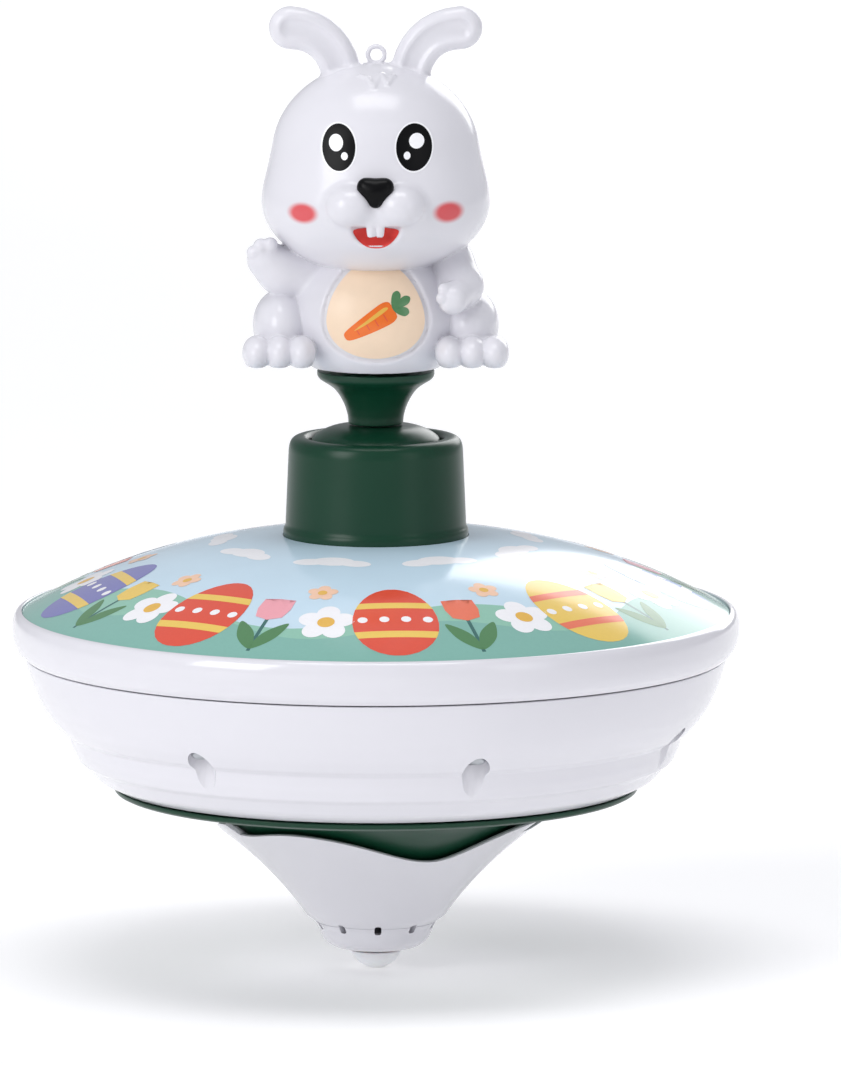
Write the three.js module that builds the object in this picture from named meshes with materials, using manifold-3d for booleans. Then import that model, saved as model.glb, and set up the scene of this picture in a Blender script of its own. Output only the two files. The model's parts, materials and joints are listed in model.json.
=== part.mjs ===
// Light up spinning top with a press handle.
//
// Pressing the figure on top pushes a twisted rod through a drive nut. The nut's face teeth turn
// the ratchet ring, and with it the whole body, while a spring lifts the handle again. A spin
// switch on the circuit board lights the lamps under the picture and plays sound downwards.
//
// Units are millimetres, +Z is up, the figure faces -Y, and the origin is the bottom of the tip.

import * as THREE from 'three';
import { mergeVertices } from 'three/addons/utils/BufferGeometryUtils.js';
import Module from 'manifold-3d';

const wasm = await Module();
wasm.setup();

// ---------------------------------------------------------------- driving dimensions

const GAP = 0.3;                 // clearance between pieces that touch
const WALL = 2.0;                // moulded shell thickness
const BODY_SEGMENTS = 28;        // facets round the large shells
const SMALL_SEGMENTS = 12;       // facets round small turned pieces
const SCREW_SEGMENTS = 6;

const RIM_RADIUS = 65.2;         // widest point of the top
const RIM_HEIGHT = 61.9;
const SEAM_HEIGHT = 57.0;        // where the top cover meets the bowl
const BOWL_FOOT_RADIUS = 47.0;
const BOWL_FOOT_HEIGHT = 33.5;
const LABEL_RADIUS = 63.4;
const LABEL_THICKNESS = 0.5;

const COLLAR_RADIUS = 16.6;
const COLLAR_BASE = 78.5;
const COLLAR_TOP = 96.3;
const BORE_RADIUS = 11.95;       // the plunger slides in this bore

const SPRING_WELL_FLOOR = 62.4;
const PLUNGER_CEILING = 92.7;
const PLUNGER_TOP = 98.3;
const ROD_LEAD = 24;             // height of one full twist of the rod
const ROD_WIDTH = 5.0;
const ROD_THICKNESS = 2.2;
const ROD_FOOT = 51.5;
const ROD_HEAD_BASE = 86;
const NUT_BASE = 55.5;
const NUT_TOP = 61.8;
const NUT_RADIUS = 7.5;
const TOOTH_HEIGHT = 1.2;
const TOOTH_COUNT = 8;
const CLUTCH_FLOOR = 48.8;
const CLUTCH_SCREW_CIRCLE = 15.4;

const NECK_FOOT = PLUNGER_TOP + GAP;
const FLANGE_TOP = 108.2;
const FIGURE_BASE = FLANGE_TOP + GAP;
const FIGURE_FLOOR = 2.3;        // thickness of the figure's floor round the neck
const NECK_SPIGOT_RADIUS = 5.9;
const NECK_TOP = 113.0;

const RIM_SCREW_COUNT = 7;
const RIM_SCREW_FIRST = 18.4;    // degrees from the front, towards +X
const RIM_SCREW_CIRCLE = 56.2;
const WELL_RADIUS = 2.4;
const WELL_FLOOR = 47;

const TRAY_RIM_BASE = 31.9;
const TRAY_FLOOR = 18;
const TRAY_WALL = 1.6;
const HOOK_REACH = 39.2;         // outer face of the tray's snap hooks, inside the bowl's mouth
const BOWL_MOUTH_RADIUS = 40;
const BOARD_BASE = 36.5;
const BOARD_THICKNESS = 1.6;
const BOARD_TOP = BOARD_BASE + BOARD_THICKNESS;
const BOARD_RADIUS = 36.5;
const BOARD_SCREW_CIRCLE = 33;
const LAMP_COUNT = 6;
const LAMP_CIRCLE = 27;

const CELL_RADIUS = 5.8;         // LR44 button cell, 11.6 mm by 5.4 mm
const CELL_HEIGHT = 5.4;
const CELL_CIRCLE = 8;
const CELL_BASE = 22.3;
const PLATE_RADIUS = 14.2;
const PLATE_THICKNESS = 0.4;

const LOBE_COUNT = 3;            // waves round the top edge of the lower cone
const LOBE_START = -56;          // degrees from the front, at the step between two lobes
const CONE_WALL = 1.8;           // measured across, on the slope
const SLOT_COUNT = 10;
const SLOT_FIRST = 2;            // degrees from the front
const SPEAKER_BASE = 13.2;
const TIP_RADIUS = 4.5;
const TIP_FOOT = 1.4;            // radius of the small flat the top stands on

// ---------------------------------------------------------------- materials

function plastic(color, roughness = 0.25) {
  return new THREE.MeshStandardMaterial({ color, roughness, metalness: 0 });
}

function metal(color, roughness = 0.35) {
  return new THREE.MeshStandardMaterial({ color, roughness, metalness: 1 });
}

const white = plastic(0xebeaf0, 0.18);
const darkGreen = plastic(0x1d4a35, 0.2);
const picture = plastic(0x8ec6ee, 0.3);
const cream = plastic(0xf0d7b9, 0.4);
const nylon = plastic(0xe4e2dc, 0.45);
const blackPlastic = plastic(0x1a1a1c, 0.4);
const boardGreen = plastic(0x2c6a3c, 0.5);
const redWire = plastic(0xb02820, 0.5);
const blackWire = plastic(0x202022, 0.5);
const steel = metal(0xb9bcc0);
const nickel = metal(0xd2d0c8, 0.25);
const brass = metal(0xc9a552, 0.35);
const lampLens = new THREE.MeshStandardMaterial({
  color: 0xf4f4ff, roughness: 0.08, metalness: 0, transparent: true, opacity: 0.5,
});

// ---------------------------------------------------------------- geometry helpers

const radians = THREE.MathUtils.degToRad;

// A point at a distance from the axis; azimuth is in degrees from the front (-Y) towards +X.
function aroundAxis(distance, azimuth, z = 0) {
  const angle = radians(azimuth);
  return new THREE.Vector3(distance * Math.sin(angle), -distance * Math.cos(angle), z);
}

function ringOf(count, make, first = 0) {
  return Array.from({ length: count }, (_, index) => make(first + (360 / count) * index, index));
}

// Keeps positions only, with shared corners merged and collapsed triangles dropped.
function weld(geometry) {
  const bare = geometry.clone();
  for (const name of Object.keys(bare.attributes)) {
    if (name !== 'position') bare.deleteAttribute(name);
  }
  const merged = mergeVertices(bare, 1e-4);
  const kept = [];
  for (let i = 0; i < merged.index.count; i += 3) {
    const corners = [0, 1, 2].map((k) => merged.index.getX(i + k));
    if (new Set(corners).size === 3) kept.push(...corners);
  }
  merged.setIndex(kept);
  return merged;
}

function toSolid(geometry) {
  const welded = weld(geometry);
  return new wasm.Manifold(new wasm.Mesh({
    numProp: 3,
    vertProperties: new Float32Array(welded.attributes.position.array),
    triVerts: new Uint32Array(welded.index.array),
  }));
}

function toGeometry(solid) {
  const mesh = solid.getMesh();
  const geometry = new THREE.BufferGeometry();
  geometry.setAttribute('position', new THREE.BufferAttribute(mesh.vertProperties, 3));
  geometry.setIndex(new THREE.BufferAttribute(mesh.triVerts, 1));
  return geometry;
}

function joined(solids) {
  return solids.reduce((sum, solid) => sum.add(solid));
}

function cutBy(solid, tools) {
  return solid.subtract(joined(tools));
}

// A solid of revolution from [radius, height] pairs that run anticlockwise from the bottom.
// A profile off the axis closes on itself.
function turned(profile, segments = SMALL_SEGMENTS) {
  const points = profile.map(([r, z]) => new THREE.Vector2(r, z));
  if (profile[0][0] > 0) points.push(points[0].clone());
  return new THREE.LatheGeometry(points, segments).rotateX(Math.PI / 2);
}

function disc(radius, base, top, segments = SMALL_SEGMENTS) {
  return turned([[0, base], [radius, base], [radius, top], [0, top]], segments);
}

function ring(inner, outer, base, top, segments = SMALL_SEGMENTS) {
  return turned([[inner, base], [outer, base], [outer, top], [inner, top]], segments);
}

function rod(radius, base, top, at, segments = SCREW_SEGMENTS) {
  return toSolid(disc(radius, base, top, segments).translate(at.x, at.y, 0));
}

function block(width, depth, base, top) {
  return new THREE.BoxGeometry(width, depth, top - base).translate(0, 0, (base + top) / 2);
}

// A ball stretched to four half-axes: side, front to back, above and below its centre.
function ball([x, y, z], [side, depth, above, below = above], columns = 10, rows = 6) {
  const geometry = new THREE.SphereGeometry(1, columns, rows).rotateX(Math.PI / 2);
  const position = geometry.attributes.position;
  for (let i = 0; i < position.count; i += 1) {
    const height = position.getZ(i);
    const reach = height > 0 ? above : below;
    position.setXYZ(i, x + side * position.getX(i), y + depth * position.getY(i), z + reach * height);
  }
  return toSolid(geometry);
}

// A wire or bent strip: a round section along a smooth curve through the points.
function wire(points, radius, steps, sides = 6) {
  const curve = new THREE.CatmullRomCurve3(points);
  return tubeAlong(curve, radius, steps, sides);
}

function tubeAlong(curve, radius, steps, sides) {
  const section = new THREE.Shape();
  section.setFromPoints(ringOf(sides, (angle) => new THREE.Vector2(
    radius * Math.cos(radians(angle)), radius * Math.sin(radians(angle)),
  )));
  return new THREE.ExtrudeGeometry(section, { steps, extrudePath: curve });
}

function screw({ headRadius, headBase, headTop, shaftRadius, shaftTop }) {
  return turned([
    [0, headBase], [headRadius, headBase], [headRadius, headTop],
    [shaftRadius, headTop], [shaftRadius, shaftTop], [0, shaftTop],
  ], SCREW_SEGMENTS);
}

// ---------------------------------------------------------------- outlines of the body

// Height of the picture's surface at a distance from the axis.
function domeHeight(r) {
  const reach = r - COLLAR_RADIUS;
  return COLLAR_BASE - 0.05 * reach - 0.0053 * reach * reach;
}

function domeProfile(inner, outer, drop, steps = 4) {
  return Array.from({ length: steps + 1 }, (_, i) => {
    const r = inner + ((outer - inner) * i) / steps;
    return [r, domeHeight(r) - drop];
  });
}

const bowlOuter = [
  [BOWL_FOOT_RADIUS, BOWL_FOOT_HEIGHT], [50.3, 35.2], [53.2, 38.2], [55.2, 42.8], [56.8, 44.2],
  [59.2, 47.0], [61.6, 52.0], [63.1, SEAM_HEIGHT - GAP],
];

// The flared side of the lower cone; the base tray nests inside the same curve.
const flare = new THREE.QuadraticBezierCurve(
  new THREE.Vector2(12.3, 9.4),
  new THREE.Vector2(19.5, 20),
  new THREE.Vector2(32.2, 28.6),
);

function flareProfile(from, to, inset, steps) {
  return Array.from({ length: steps + 1 }, (_, i) => {
    const point = flare.getPoint(from + ((to - from) * i) / steps);
    return [point.x - inset, point.y];
  });
}

// How far up the flare the wavy edge stands, at a share (0 to 1) of the way round one lobe.
function waveEdge(share) {
  const start = 0.88;
  const crest = 0.97;
  const trough = 0.66;
  const ease = (from, to, at) => from + ((to - from) * (1 - Math.cos(Math.PI * at))) / 2;
  if (share < 0.24) return ease(start, crest, share / 0.24);
  if (share < 0.68) return ease(crest, trough, (share - 0.24) / 0.44);
  return ease(trough, 1, (share - 0.68) / 0.32);
}

// ---------------------------------------------------------------- lower half

function spinTip() {
  return turned([
    [0, 0], [TIP_FOOT, 0], [3.0, 0.9], [4.1, 2.0], [TIP_RADIUS, 3.1],
    [2.5, 3.1], [2.5, 8.6], [0, 8.6],
  ], 20);
}

// The cone's columns crowd together at each step of the wavy edge, so that the step is sharp.
function lowerCone() {
  const columnsPerLobe = 9;
  const stepWidth = 1.5;
  const lobe = 360 / LOBE_COUNT;
  const positions = [];
  const index = [];
  const columns = LOBE_COUNT * columnsPerLobe;
  let length = 0;
  for (let column = 0; column < columns; column += 1) {
    const local = (column % columnsPerLobe) / (columnsPerLobe - 1);
    const azimuth = LOBE_START + Math.floor(column / columnsPerLobe) * lobe + local * (lobe - stepWidth);
    const edge = waveEdge(local);
    const profile = [
      [2.8, 3.4], [4.8, 3.4], [7.7, 4.0], [9.2, 5.0], [9.9, 6.3], [10.4, 7.6],
      ...flareProfile(0, edge, 0, 4),
      ...flareProfile(edge, 0.2, CONE_WALL, 2),
      [13.2, SPEAKER_BASE - GAP], [9.8, SPEAKER_BASE - GAP], [9.8, 11.4], [8.4, 9.6], [7.8, 5.6], [4.3, 5.2], [4.3, 9.0], [2.8, 9.0],
    ];
    length = profile.length;
    for (const [r, z] of profile) positions.push(...aroundAxis(r, azimuth, z).toArray());
  }
  for (let column = 0; column < columns; column += 1) {
    const here = column * length;
    const next = ((column + 1) % columns) * length;
    for (let row = 0; row < length; row += 1) {
      const above = (row + 1) % length;
      index.push(here + row, next + row, next + above, here + row, next + above, here + above);
    }
  }
  const shell = new THREE.BufferGeometry();
  shell.setAttribute('position', new THREE.Float32BufferAttribute(positions, 3));
  shell.setIndex(index);
  const slots = ringOf(SLOT_COUNT, (azimuth) => {
    const slot = new THREE.BoxGeometry(1.3, 6, 1.6).translate(0, -10.4, 8.2);
    return toSolid(slot.rotateZ(radians(azimuth)));
  }, SLOT_FIRST);
  return toGeometry(cutBy(toSolid(shell), slots));
}

// A hook that stands on the tray and catches over the inner edge of the bowl's floor.
function snapHook(azimuth) {
  const width = 6;
  const thickness = 1.4;
  const top = 36.8;
  const barb = 1.1;
  const stem = block(width, thickness, TRAY_RIM_BASE + 0.4, top).translate(0, thickness / 2 - HOOK_REACH, 0);
  const catchEdge = block(width, barb + 0.2, BOWL_FOOT_HEIGHT + 2.2, top)
    .translate(0, -HOOK_REACH - barb / 2 + 0.1, 0);
  return joined([stem, catchEdge].map((piece) => toSolid(piece.rotateZ(radians(azimuth)))));
}

function baseTray() {
  const inset = CONE_WALL + 0.75;
  const funnelStart = 0.42;
  const shell = toSolid(turned([
    [2, TRAY_FLOOR],
    ...flareProfile(funnelStart, 1, inset, 4),
    [33.6, 30.8], [36.4, TRAY_RIM_BASE - 0.2], [45.8, TRAY_RIM_BASE],
    [BOWL_FOOT_RADIUS, TRAY_RIM_BASE + 0.6], [BOWL_FOOT_RADIUS, BOWL_FOOT_HEIGHT - GAP],
    [36, BOWL_FOOT_HEIGHT - GAP], [32.6, 32.2],
    ...flareProfile(1, funnelStart + 0.05, inset + TRAY_WALL + 0.4, 3),
    [15.2, TRAY_FLOOR + TRAY_WALL], [2, TRAY_FLOOR + TRAY_WALL],
  ], BODY_SEGMENTS));
  const posts = ringOf(3, (azimuth) => (
    rod(2.6, TRAY_RIM_BASE - 0.2, BOARD_BASE - GAP, aroundAxis(BOARD_SCREW_CIRCLE, azimuth))
  ), 30);
  const pilots = ringOf(3, (azimuth) => (
    rod(1.3, 33.4, BOARD_BASE, aroundAxis(BOARD_SCREW_CIRCLE, azimuth))
  ), 30);
  const hooks = ringOf(3, snapHook);
  const wireHoles = [-12, 12].map((azimuth) => rod(1.5, 16, 21, aroundAxis(14.6, azimuth)));
  return toGeometry(cutBy(joined([shell, ...posts, ...hooks]), [...pilots, ...wireHoles]));
}

function bowl() {
  const solid = toSolid(turned([[0, BOWL_FOOT_HEIGHT], ...bowlOuter, [0, SEAM_HEIGHT - GAP]], BODY_SEGMENTS));
  const hollow = toSolid(turned([
    [0, BOWL_FOOT_HEIGHT + 1.5], [47.6, BOWL_FOOT_HEIGHT + 1.9], [51.4, 39.0], [53.4, 44.0],
    [57.6, 48.6], [61.1, SEAM_HEIGHT + 1], [0, SEAM_HEIGHT + 1],
  ], BODY_SEGMENTS));
  const mouth = toSolid(disc(BOWL_MOUTH_RADIUS, BOWL_FOOT_HEIGHT - 1, BOWL_FOOT_HEIGHT + 3, BODY_SEGMENTS));
  const rimBosses = ringOf(RIM_SCREW_COUNT, (azimuth) => (
    rod(WELL_RADIUS + 1.6, 36, WELL_FLOOR + 1.9, aroundAxis(RIM_SCREW_CIRCLE, azimuth), 8).intersect(solid)
  ), RIM_SCREW_FIRST);
  const wells = ringOf(RIM_SCREW_COUNT, (azimuth) => (
    rod(WELL_RADIUS, 30, WELL_FLOOR, aroundAxis(RIM_SCREW_CIRCLE, azimuth), 8)
  ), RIM_SCREW_FIRST);
  const shaftHoles = ringOf(RIM_SCREW_COUNT, (azimuth) => (
    rod(1.6, WELL_FLOOR - 1, WELL_FLOOR + 6, aroundAxis(RIM_SCREW_CIRCLE, azimuth))
  ), RIM_SCREW_FIRST);
  const shell = cutBy(solid, [hollow, mouth]);
  return toGeometry(cutBy(joined([shell, ...rimBosses]), [...wells, ...shaftHoles]));
}

// ---------------------------------------------------------------- top cover and collar

function topCover() {
  const skinDrop = LABEL_THICKNESS + GAP;
  const shell = toSolid(turned([
    [61.4, SEAM_HEIGHT], [63.3, SEAM_HEIGHT], [64.3, 58.2], [65.0, 59.9], [RIM_RADIUS, RIM_HEIGHT],
    [65.0, 63.6], [64.4, 64.7], [LABEL_RADIUS + GAP, 65.0],
    ...domeProfile(COLLAR_RADIUS + GAP, LABEL_RADIUS + GAP, skinDrop).reverse(),
    [BORE_RADIUS + 0.1, domeHeight(COLLAR_RADIUS) - skinDrop + 0.5],
    [BORE_RADIUS + 0.1, SPRING_WELL_FLOOR + WALL], [4.5, SPRING_WELL_FLOOR + WALL],
    [4.5, SPRING_WELL_FLOOR], [13.8, SPRING_WELL_FLOOR],
    ...domeProfile(13.8, 61.4, skinDrop + WALL),
  ], BODY_SEGMENTS));
  const rimBosses = ringOf(RIM_SCREW_COUNT, (azimuth) => (
    rod(2.1, WELL_FLOOR + 6.2, 65.3, aroundAxis(RIM_SCREW_CIRCLE, azimuth), 8)
  ), RIM_SCREW_FIRST);
  const rimPilots = ringOf(RIM_SCREW_COUNT, (azimuth) => (
    rod(1.5, WELL_FLOOR, 59, aroundAxis(RIM_SCREW_CIRCLE, azimuth), 8)
  ), RIM_SCREW_FIRST);
  const clutchBosses = ringOf(3, (azimuth) => (
    rod(2.5, SPRING_WELL_FLOOR, 75.5, aroundAxis(CLUTCH_SCREW_CIRCLE, azimuth))
  ));
  const clutchPilots = ringOf(3, (azimuth) => (
    rod(1.1 + GAP, SPRING_WELL_FLOOR - 1, 69, aroundAxis(CLUTCH_SCREW_CIRCLE, azimuth))
  ));
  const springWell = toSolid(disc(BORE_RADIUS + 0.1, SPRING_WELL_FLOOR + WALL, 80, BODY_SEGMENTS));
  return toGeometry(cutBy(
    joined([shell, ...rimBosses, ...clutchBosses]),
    [...rimPilots, ...clutchPilots, springWell],
  ));
}

function pictureLabel() {
  return turned([
    ...domeProfile(COLLAR_RADIUS + GAP, LABEL_RADIUS, LABEL_THICKNESS),
    ...domeProfile(COLLAR_RADIUS + GAP, LABEL_RADIUS, 0).reverse(),
  ], BODY_SEGMENTS);
}

function collar() {
  return turned([
    [BORE_RADIUS, COLLAR_BASE], [COLLAR_RADIUS, COLLAR_BASE], [COLLAR_RADIUS, 79.7],
    [16.25, 80.2], [15.6, 94.7], [15.25, 95.6], [14.4, 96.15], [12.6, COLLAR_TOP],
    [BORE_RADIUS, COLLAR_TOP - 0.2],
  ], BODY_SEGMENTS);
}

// ---------------------------------------------------------------- handle

function plunger() {
  const skirtRadius = BORE_RADIUS - 0.35;
  return turned([
    [10.1, 86.5], [skirtRadius, 86.5], [skirtRadius, 95.6], [11.2, 96.4], [9.6, 97.3], [7.6, 98.0],
    [5.6, PLUNGER_TOP], [1.8, PLUNGER_TOP], [1.8, PLUNGER_CEILING], [10.1, PLUNGER_CEILING],
  ], 20);
}

function neck() {
  return turned([
    [1.8, NECK_FOOT], [4.9, NECK_FOOT], [5.0, 100.0], [5.45, 101.7], [6.3, 103.5], [7.4, 105.0],
    [8.2, 105.6], [10.2, 106.8], [10.5, 107.2], [10.5, FLANGE_TOP],
    [NECK_SPIGOT_RADIUS, FLANGE_TOP], [NECK_SPIGOT_RADIUS, 111.1], [8, 111.1], [8, NECK_TOP],
    [1.8, NECK_TOP],
  ], 20);
}

// Turns each slice of an upright bar about the axis by its height, one turn per rod lead.
function twist(geometry) {
  const position = geometry.attributes.position;
  for (let i = 0; i < position.count; i += 1) {
    const angle = (2 * Math.PI * position.getZ(i)) / ROD_LEAD;
    const point = new THREE.Vector3().fromBufferAttribute(position, i);
    point.applyAxisAngle(new THREE.Vector3(0, 0, 1), angle);
    position.setXYZ(i, point.x, point.y, point.z);
  }
  return geometry;
}

function twistedBar(width, thickness, base, top) {
  const steps = Math.round(top - base);
  const bar = new THREE.BoxGeometry(width, thickness, top - base, 2, 1, steps);
  return twist(bar.translate(0, 0, (base + top) / 2));
}

function twistedRod() {
  const blade = toSolid(twistedBar(ROD_WIDTH, ROD_THICKNESS, ROD_FOOT, ROD_HEAD_BASE + 0.5));
  const head = toSolid(disc(4, ROD_HEAD_BASE, PLUNGER_CEILING - GAP));
  const pilot = toSolid(disc(1.7, 88, PLUNGER_CEILING));
  return toGeometry(blade.add(head).subtract(pilot));
}

function thrustWasher() {
  return ring(4.6, 11.4, SPRING_WELL_FLOOR + WALL + GAP, SPRING_WELL_FLOOR + WALL + 1.1, 20);
}

class Helix extends THREE.Curve {
  constructor(radius, base, top, turns) {
    super();
    Object.assign(this, { radius, base, top, turns });
  }

  getPoint(t, target = new THREE.Vector3()) {
    const angle = 2 * Math.PI * this.turns * t;
    const z = this.base + (this.top - this.base) * t;
    return target.set(this.radius * Math.cos(angle), this.radius * Math.sin(angle), z);
  }
}

function returnSpring() {
  const wireRadius = 0.5;
  const base = SPRING_WELL_FLOOR + WALL + 1.4 + wireRadius;
  const top = PLUNGER_CEILING - GAP - wireRadius;
  const turns = 6;
  return tubeAlong(new Helix(8, base, top, turns), wireRadius, turns * 8, 6);
}

// Saw teeth on a ring's face: each is a wedge that rises from zero to full height.
function sawTeeth(base, direction) {
  const length = 3.2;
  const wedge = new THREE.Shape();
  wedge.moveTo(-1.6, -0.2 * direction);
  wedge.lineTo(1.6, -0.2 * direction);
  wedge.lineTo(1.6, TOOTH_HEIGHT * direction);
  wedge.closePath();
  return ringOf(TOOTH_COUNT, (azimuth) => {
    const tooth = new THREE.ExtrudeGeometry(wedge, { depth: length, bevelEnabled: false });
    tooth.rotateX(Math.PI / 2).translate(0, -4.1, base);
    return toSolid(tooth.rotateZ(radians(azimuth)));
  });
}

function driveNut() {
  const body = toSolid(disc(NUT_RADIUS, NUT_BASE, NUT_TOP, 24));
  const clearance = 3 * GAP;
  const slot = toSolid(twistedBar(
    ROD_WIDTH + clearance, ROD_THICKNESS + clearance, NUT_BASE - 3, NUT_TOP + 1.5,
  ));
  return toGeometry(joined([body, ...sawTeeth(NUT_BASE, -1)]).subtract(slot));
}

function ratchetRing() {
  const top = NUT_BASE - 2 * TOOTH_HEIGHT - 0.5;
  const body = toSolid(ring(3.9, 9, CLUTCH_FLOOR + 2, top, 24));
  return toGeometry(joined([body, ...sawTeeth(top, 1)]));
}

function clutchHousing() {
  const cup = toSolid(turned([
    [3.4, CLUTCH_FLOOR], [11, CLUTCH_FLOOR], [11, 60.2], [18.4, 60.2], [18.4, SPRING_WELL_FLOOR - GAP],
    [9.4, SPRING_WELL_FLOOR - GAP], [9.4, CLUTCH_FLOOR + 1.7], [3.4, CLUTCH_FLOOR + 1.7],
  ], 24));
  const holes = ringOf(3, (azimuth) => rod(1.1 + GAP, 59, 63, aroundAxis(CLUTCH_SCREW_CIRCLE, azimuth)));
  return toGeometry(cutBy(cup, holes));
}

// ---------------------------------------------------------------- rabbit figure

// One ear is a flat paddle that leans out; side is -1 or +1.
function ear(side) {
  const outline = new THREE.Shape();
  outline.moveTo(3.4, 158);
  outline.bezierCurveTo(4.0, 162, 5.4, 166, 7.6, 169.5);
  outline.bezierCurveTo(9.2, 172.4, 12.2, 174.0, 15.2, 173.8);
  outline.bezierCurveTo(18.2, 173.6, 20.0, 171.0, 19.0, 168.4);
  outline.bezierCurveTo(18.2, 166.4, 15.6, 166.0, 13.6, 165.0);
  outline.bezierCurveTo(11.8, 164.0, 11.4, 162, 11.2, 158);
  outline.closePath();
  const paddle = new THREE.ExtrudeGeometry(outline, { depth: 5, bevelEnabled: false, curveSegments: 3 });
  paddle.translate(0, 0, -2.5).rotateX(Math.PI / 2);
  const solid = toSolid(paddle);
  return side > 0 ? solid : solid.mirror([1, 0, 0]);
}

function foot(side) {
  const centre = 17.3 * side;
  const toes = [-4, 0, 4].map((shift) => ball([centre + shift, -15.4, 112.4], [2.2, 2.6, 2.4], 6, 5));
  return joined([
    ball([16.4 * side, -4.6, 117], [5.9, 9.2, 7.8, 6.6]),
    ball([centre, -10.6, 112.7], [6.1, 6.8, 2.8], 10, 5),
    ...toes,
  ]);
}

function figureBody() {
  const floor = toSolid(block(60, 60, 90, FIGURE_BASE));
  const hangingLoop = toSolid(new THREE.TorusGeometry(1.55, 0.45, 6, 12).rotateX(Math.PI / 2)
    .translate(0, 1.1, 164.9));
  const parts = [
    ball([0, 0, 140], [20.4, 18.4, 23.5, 14.2], 16, 10),
    ball([0, 1, 118], [15.2, 15.2, 14, 13], 16, 8),
    ball([-4.6, -15.2, 137.2], [5.6, 6.4, 4.8]),
    ball([4.6, -15.2, 137.2], [5.6, 6.4, 4.8]),
    ball([0, -19.4, 141.6], [3.2, 3.6, 2.6], 8, 6),
    ball([-13.8, -1.5, 125.4], [5.4, 5, 5.6]),
    ball([-19.4, -2.6, 128.2], [4.2, 3.6, 4.2], 8, 6),
    ball([14.4, -2.4, 124.6], [5.2, 6.2, 6.6]),
    ball([14.4, -12, 122.6], [3.9, 4.4, 3.6], 8, 6),
    ear(-1), ear(1), foot(-1), foot(1), hangingLoop,
  ];
  return joined(parts).subtract(floor);
}

function figureCavity() {
  return joined([
    ball([0, 0, 140.4], [18, 16, 21, 11.6], 12, 8),
    ball([0, 0.6, 118], [12.2, 11.6, 13, 12], 12, 6),
    toSolid(disc(8, 118, 138)),
  ]).subtract(toSolid(block(60, 60, 90, FIGURE_BASE + FIGURE_FLOOR)));
}

const badgeOutline = [
  [0, 111.9], [4.2, 112.7], [7.4, 115.3], [8.8, 119.4], [7.9, 123.6], [5.4, 126.8],
  [-5.4, 126.8], [-7.9, 123.6], [-8.8, 119.4], [-7.4, 115.3], [-4.2, 112.7],
];

function badgeSolid(grow, front, back) {
  const centreHeight = 119.4;
  const points = badgeOutline.map(([x, z]) => {
    const away = new THREE.Vector2(x, z - centreHeight);
    away.setLength(away.length() + grow);
    return new THREE.Vector2(away.x, away.y + centreHeight);
  });
  const plate = new THREE.ExtrudeGeometry(new THREE.Shape(points), { depth: back - front, bevelEnabled: false });
  return toSolid(plate.rotateX(Math.PI / 2).translate(0, back, 0));
}

// The badge is a thin plate in a pocket that keeps the gap all round it.
function bellyBadge() {
  return toGeometry(badgeSolid(0, -13.9, -13.0));
}

function figureShells() {
  const hole = toSolid(disc(NECK_SPIGOT_RADIUS + GAP, FIGURE_BASE - 1, FIGURE_BASE + FIGURE_FLOOR + 1, 20));
  const pocket = badgeSolid(GAP, -30, -13.0 + GAP);
  const hollow = figureBody().subtract(figureCavity()).subtract(hole).subtract(pocket);
  const front = toSolid(new THREE.BoxGeometry(80, 40, 200).translate(0, -20 - GAP / 2, 120));
  const rear = toSolid(new THREE.BoxGeometry(80, 40, 200).translate(0, 20 + GAP / 2, 120));
  return { front: toGeometry(hollow.intersect(front)), rear: toGeometry(hollow.intersect(rear)) };
}

// ---------------------------------------------------------------- electronics

function circuitBoard() {
  const board = toSolid(disc(BOARD_RADIUS, BOARD_BASE, BOARD_TOP, 32));
  const holes = ringOf(3, (azimuth) => (
    rod(1.6, BOARD_BASE - 1, BOARD_TOP + 1, aroundAxis(BOARD_SCREW_CIRCLE, azimuth))
  ), 30);
  return toGeometry(cutBy(board, holes));
}

function lamp() {
  return turned([
    [0, 0], [2.9, 0], [2.9, 1], [2.5, 1], [2.5, 5.6], [1.8, 7.2], [0, 8],
  ], 10);
}

function batteryHolder() {
  const body = toSolid(disc(15, CELL_BASE - 0.1, CELL_BASE + CELL_HEIGHT + 0.4, 28));
  const pockets = ringOf(3, (azimuth) => (
    rod(CELL_RADIUS + GAP, CELL_BASE - 1, CELL_BASE + 8, aroundAxis(CELL_CIRCLE, azimuth), 20)
  ));
  const wirePassage = rod(1.1, CELL_BASE - 1, CELL_BASE + 8, aroundAxis(0, 0));
  return toGeometry(cutBy(body, [...pockets, wirePassage]));
}

function contactPlate(base, passageRadius) {
  return ring(passageRadius, PLATE_RADIUS, base, base + PLATE_THICKNESS, 20);
}

function speaker() {
  return turned([
    [0, SPEAKER_BASE + 1.2], [9.2, SPEAKER_BASE + 0.2], [9.6, SPEAKER_BASE], [10.9, SPEAKER_BASE],
    [10.9, SPEAKER_BASE + 1], [6.4, SPEAKER_BASE + 2.2], [6.4, SPEAKER_BASE + 4.2],
    [0, SPEAKER_BASE + 4.2],
  ], 20);
}

function speakerRing() {
  return turned([
    [11.3, SPEAKER_BASE], [12.4, SPEAKER_BASE], [14.2, 15.8], [11.3, 15.8],
  ], 20);
}

// ---------------------------------------------------------------- assembly

const spinningTop = new THREE.Group();

function place(name, geometry, material, position = new THREE.Vector3(), azimuth = 0) {
  const mesh = new THREE.Mesh(weld(geometry), material);
  mesh.name = name;
  mesh.position.copy(position);
  mesh.rotation.z = radians(azimuth);
  spinningTop.add(mesh);
}

place('spin_tip', spinTip(), nylon);
place('lower_cone', lowerCone(), white);
place('base_tray', baseTray(), darkGreen);
place('bowl', bowl(), white);
place('top_cover', topCover(), white);
place('picture_label', pictureLabel(), picture);
place('collar', collar(), darkGreen);

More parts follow.
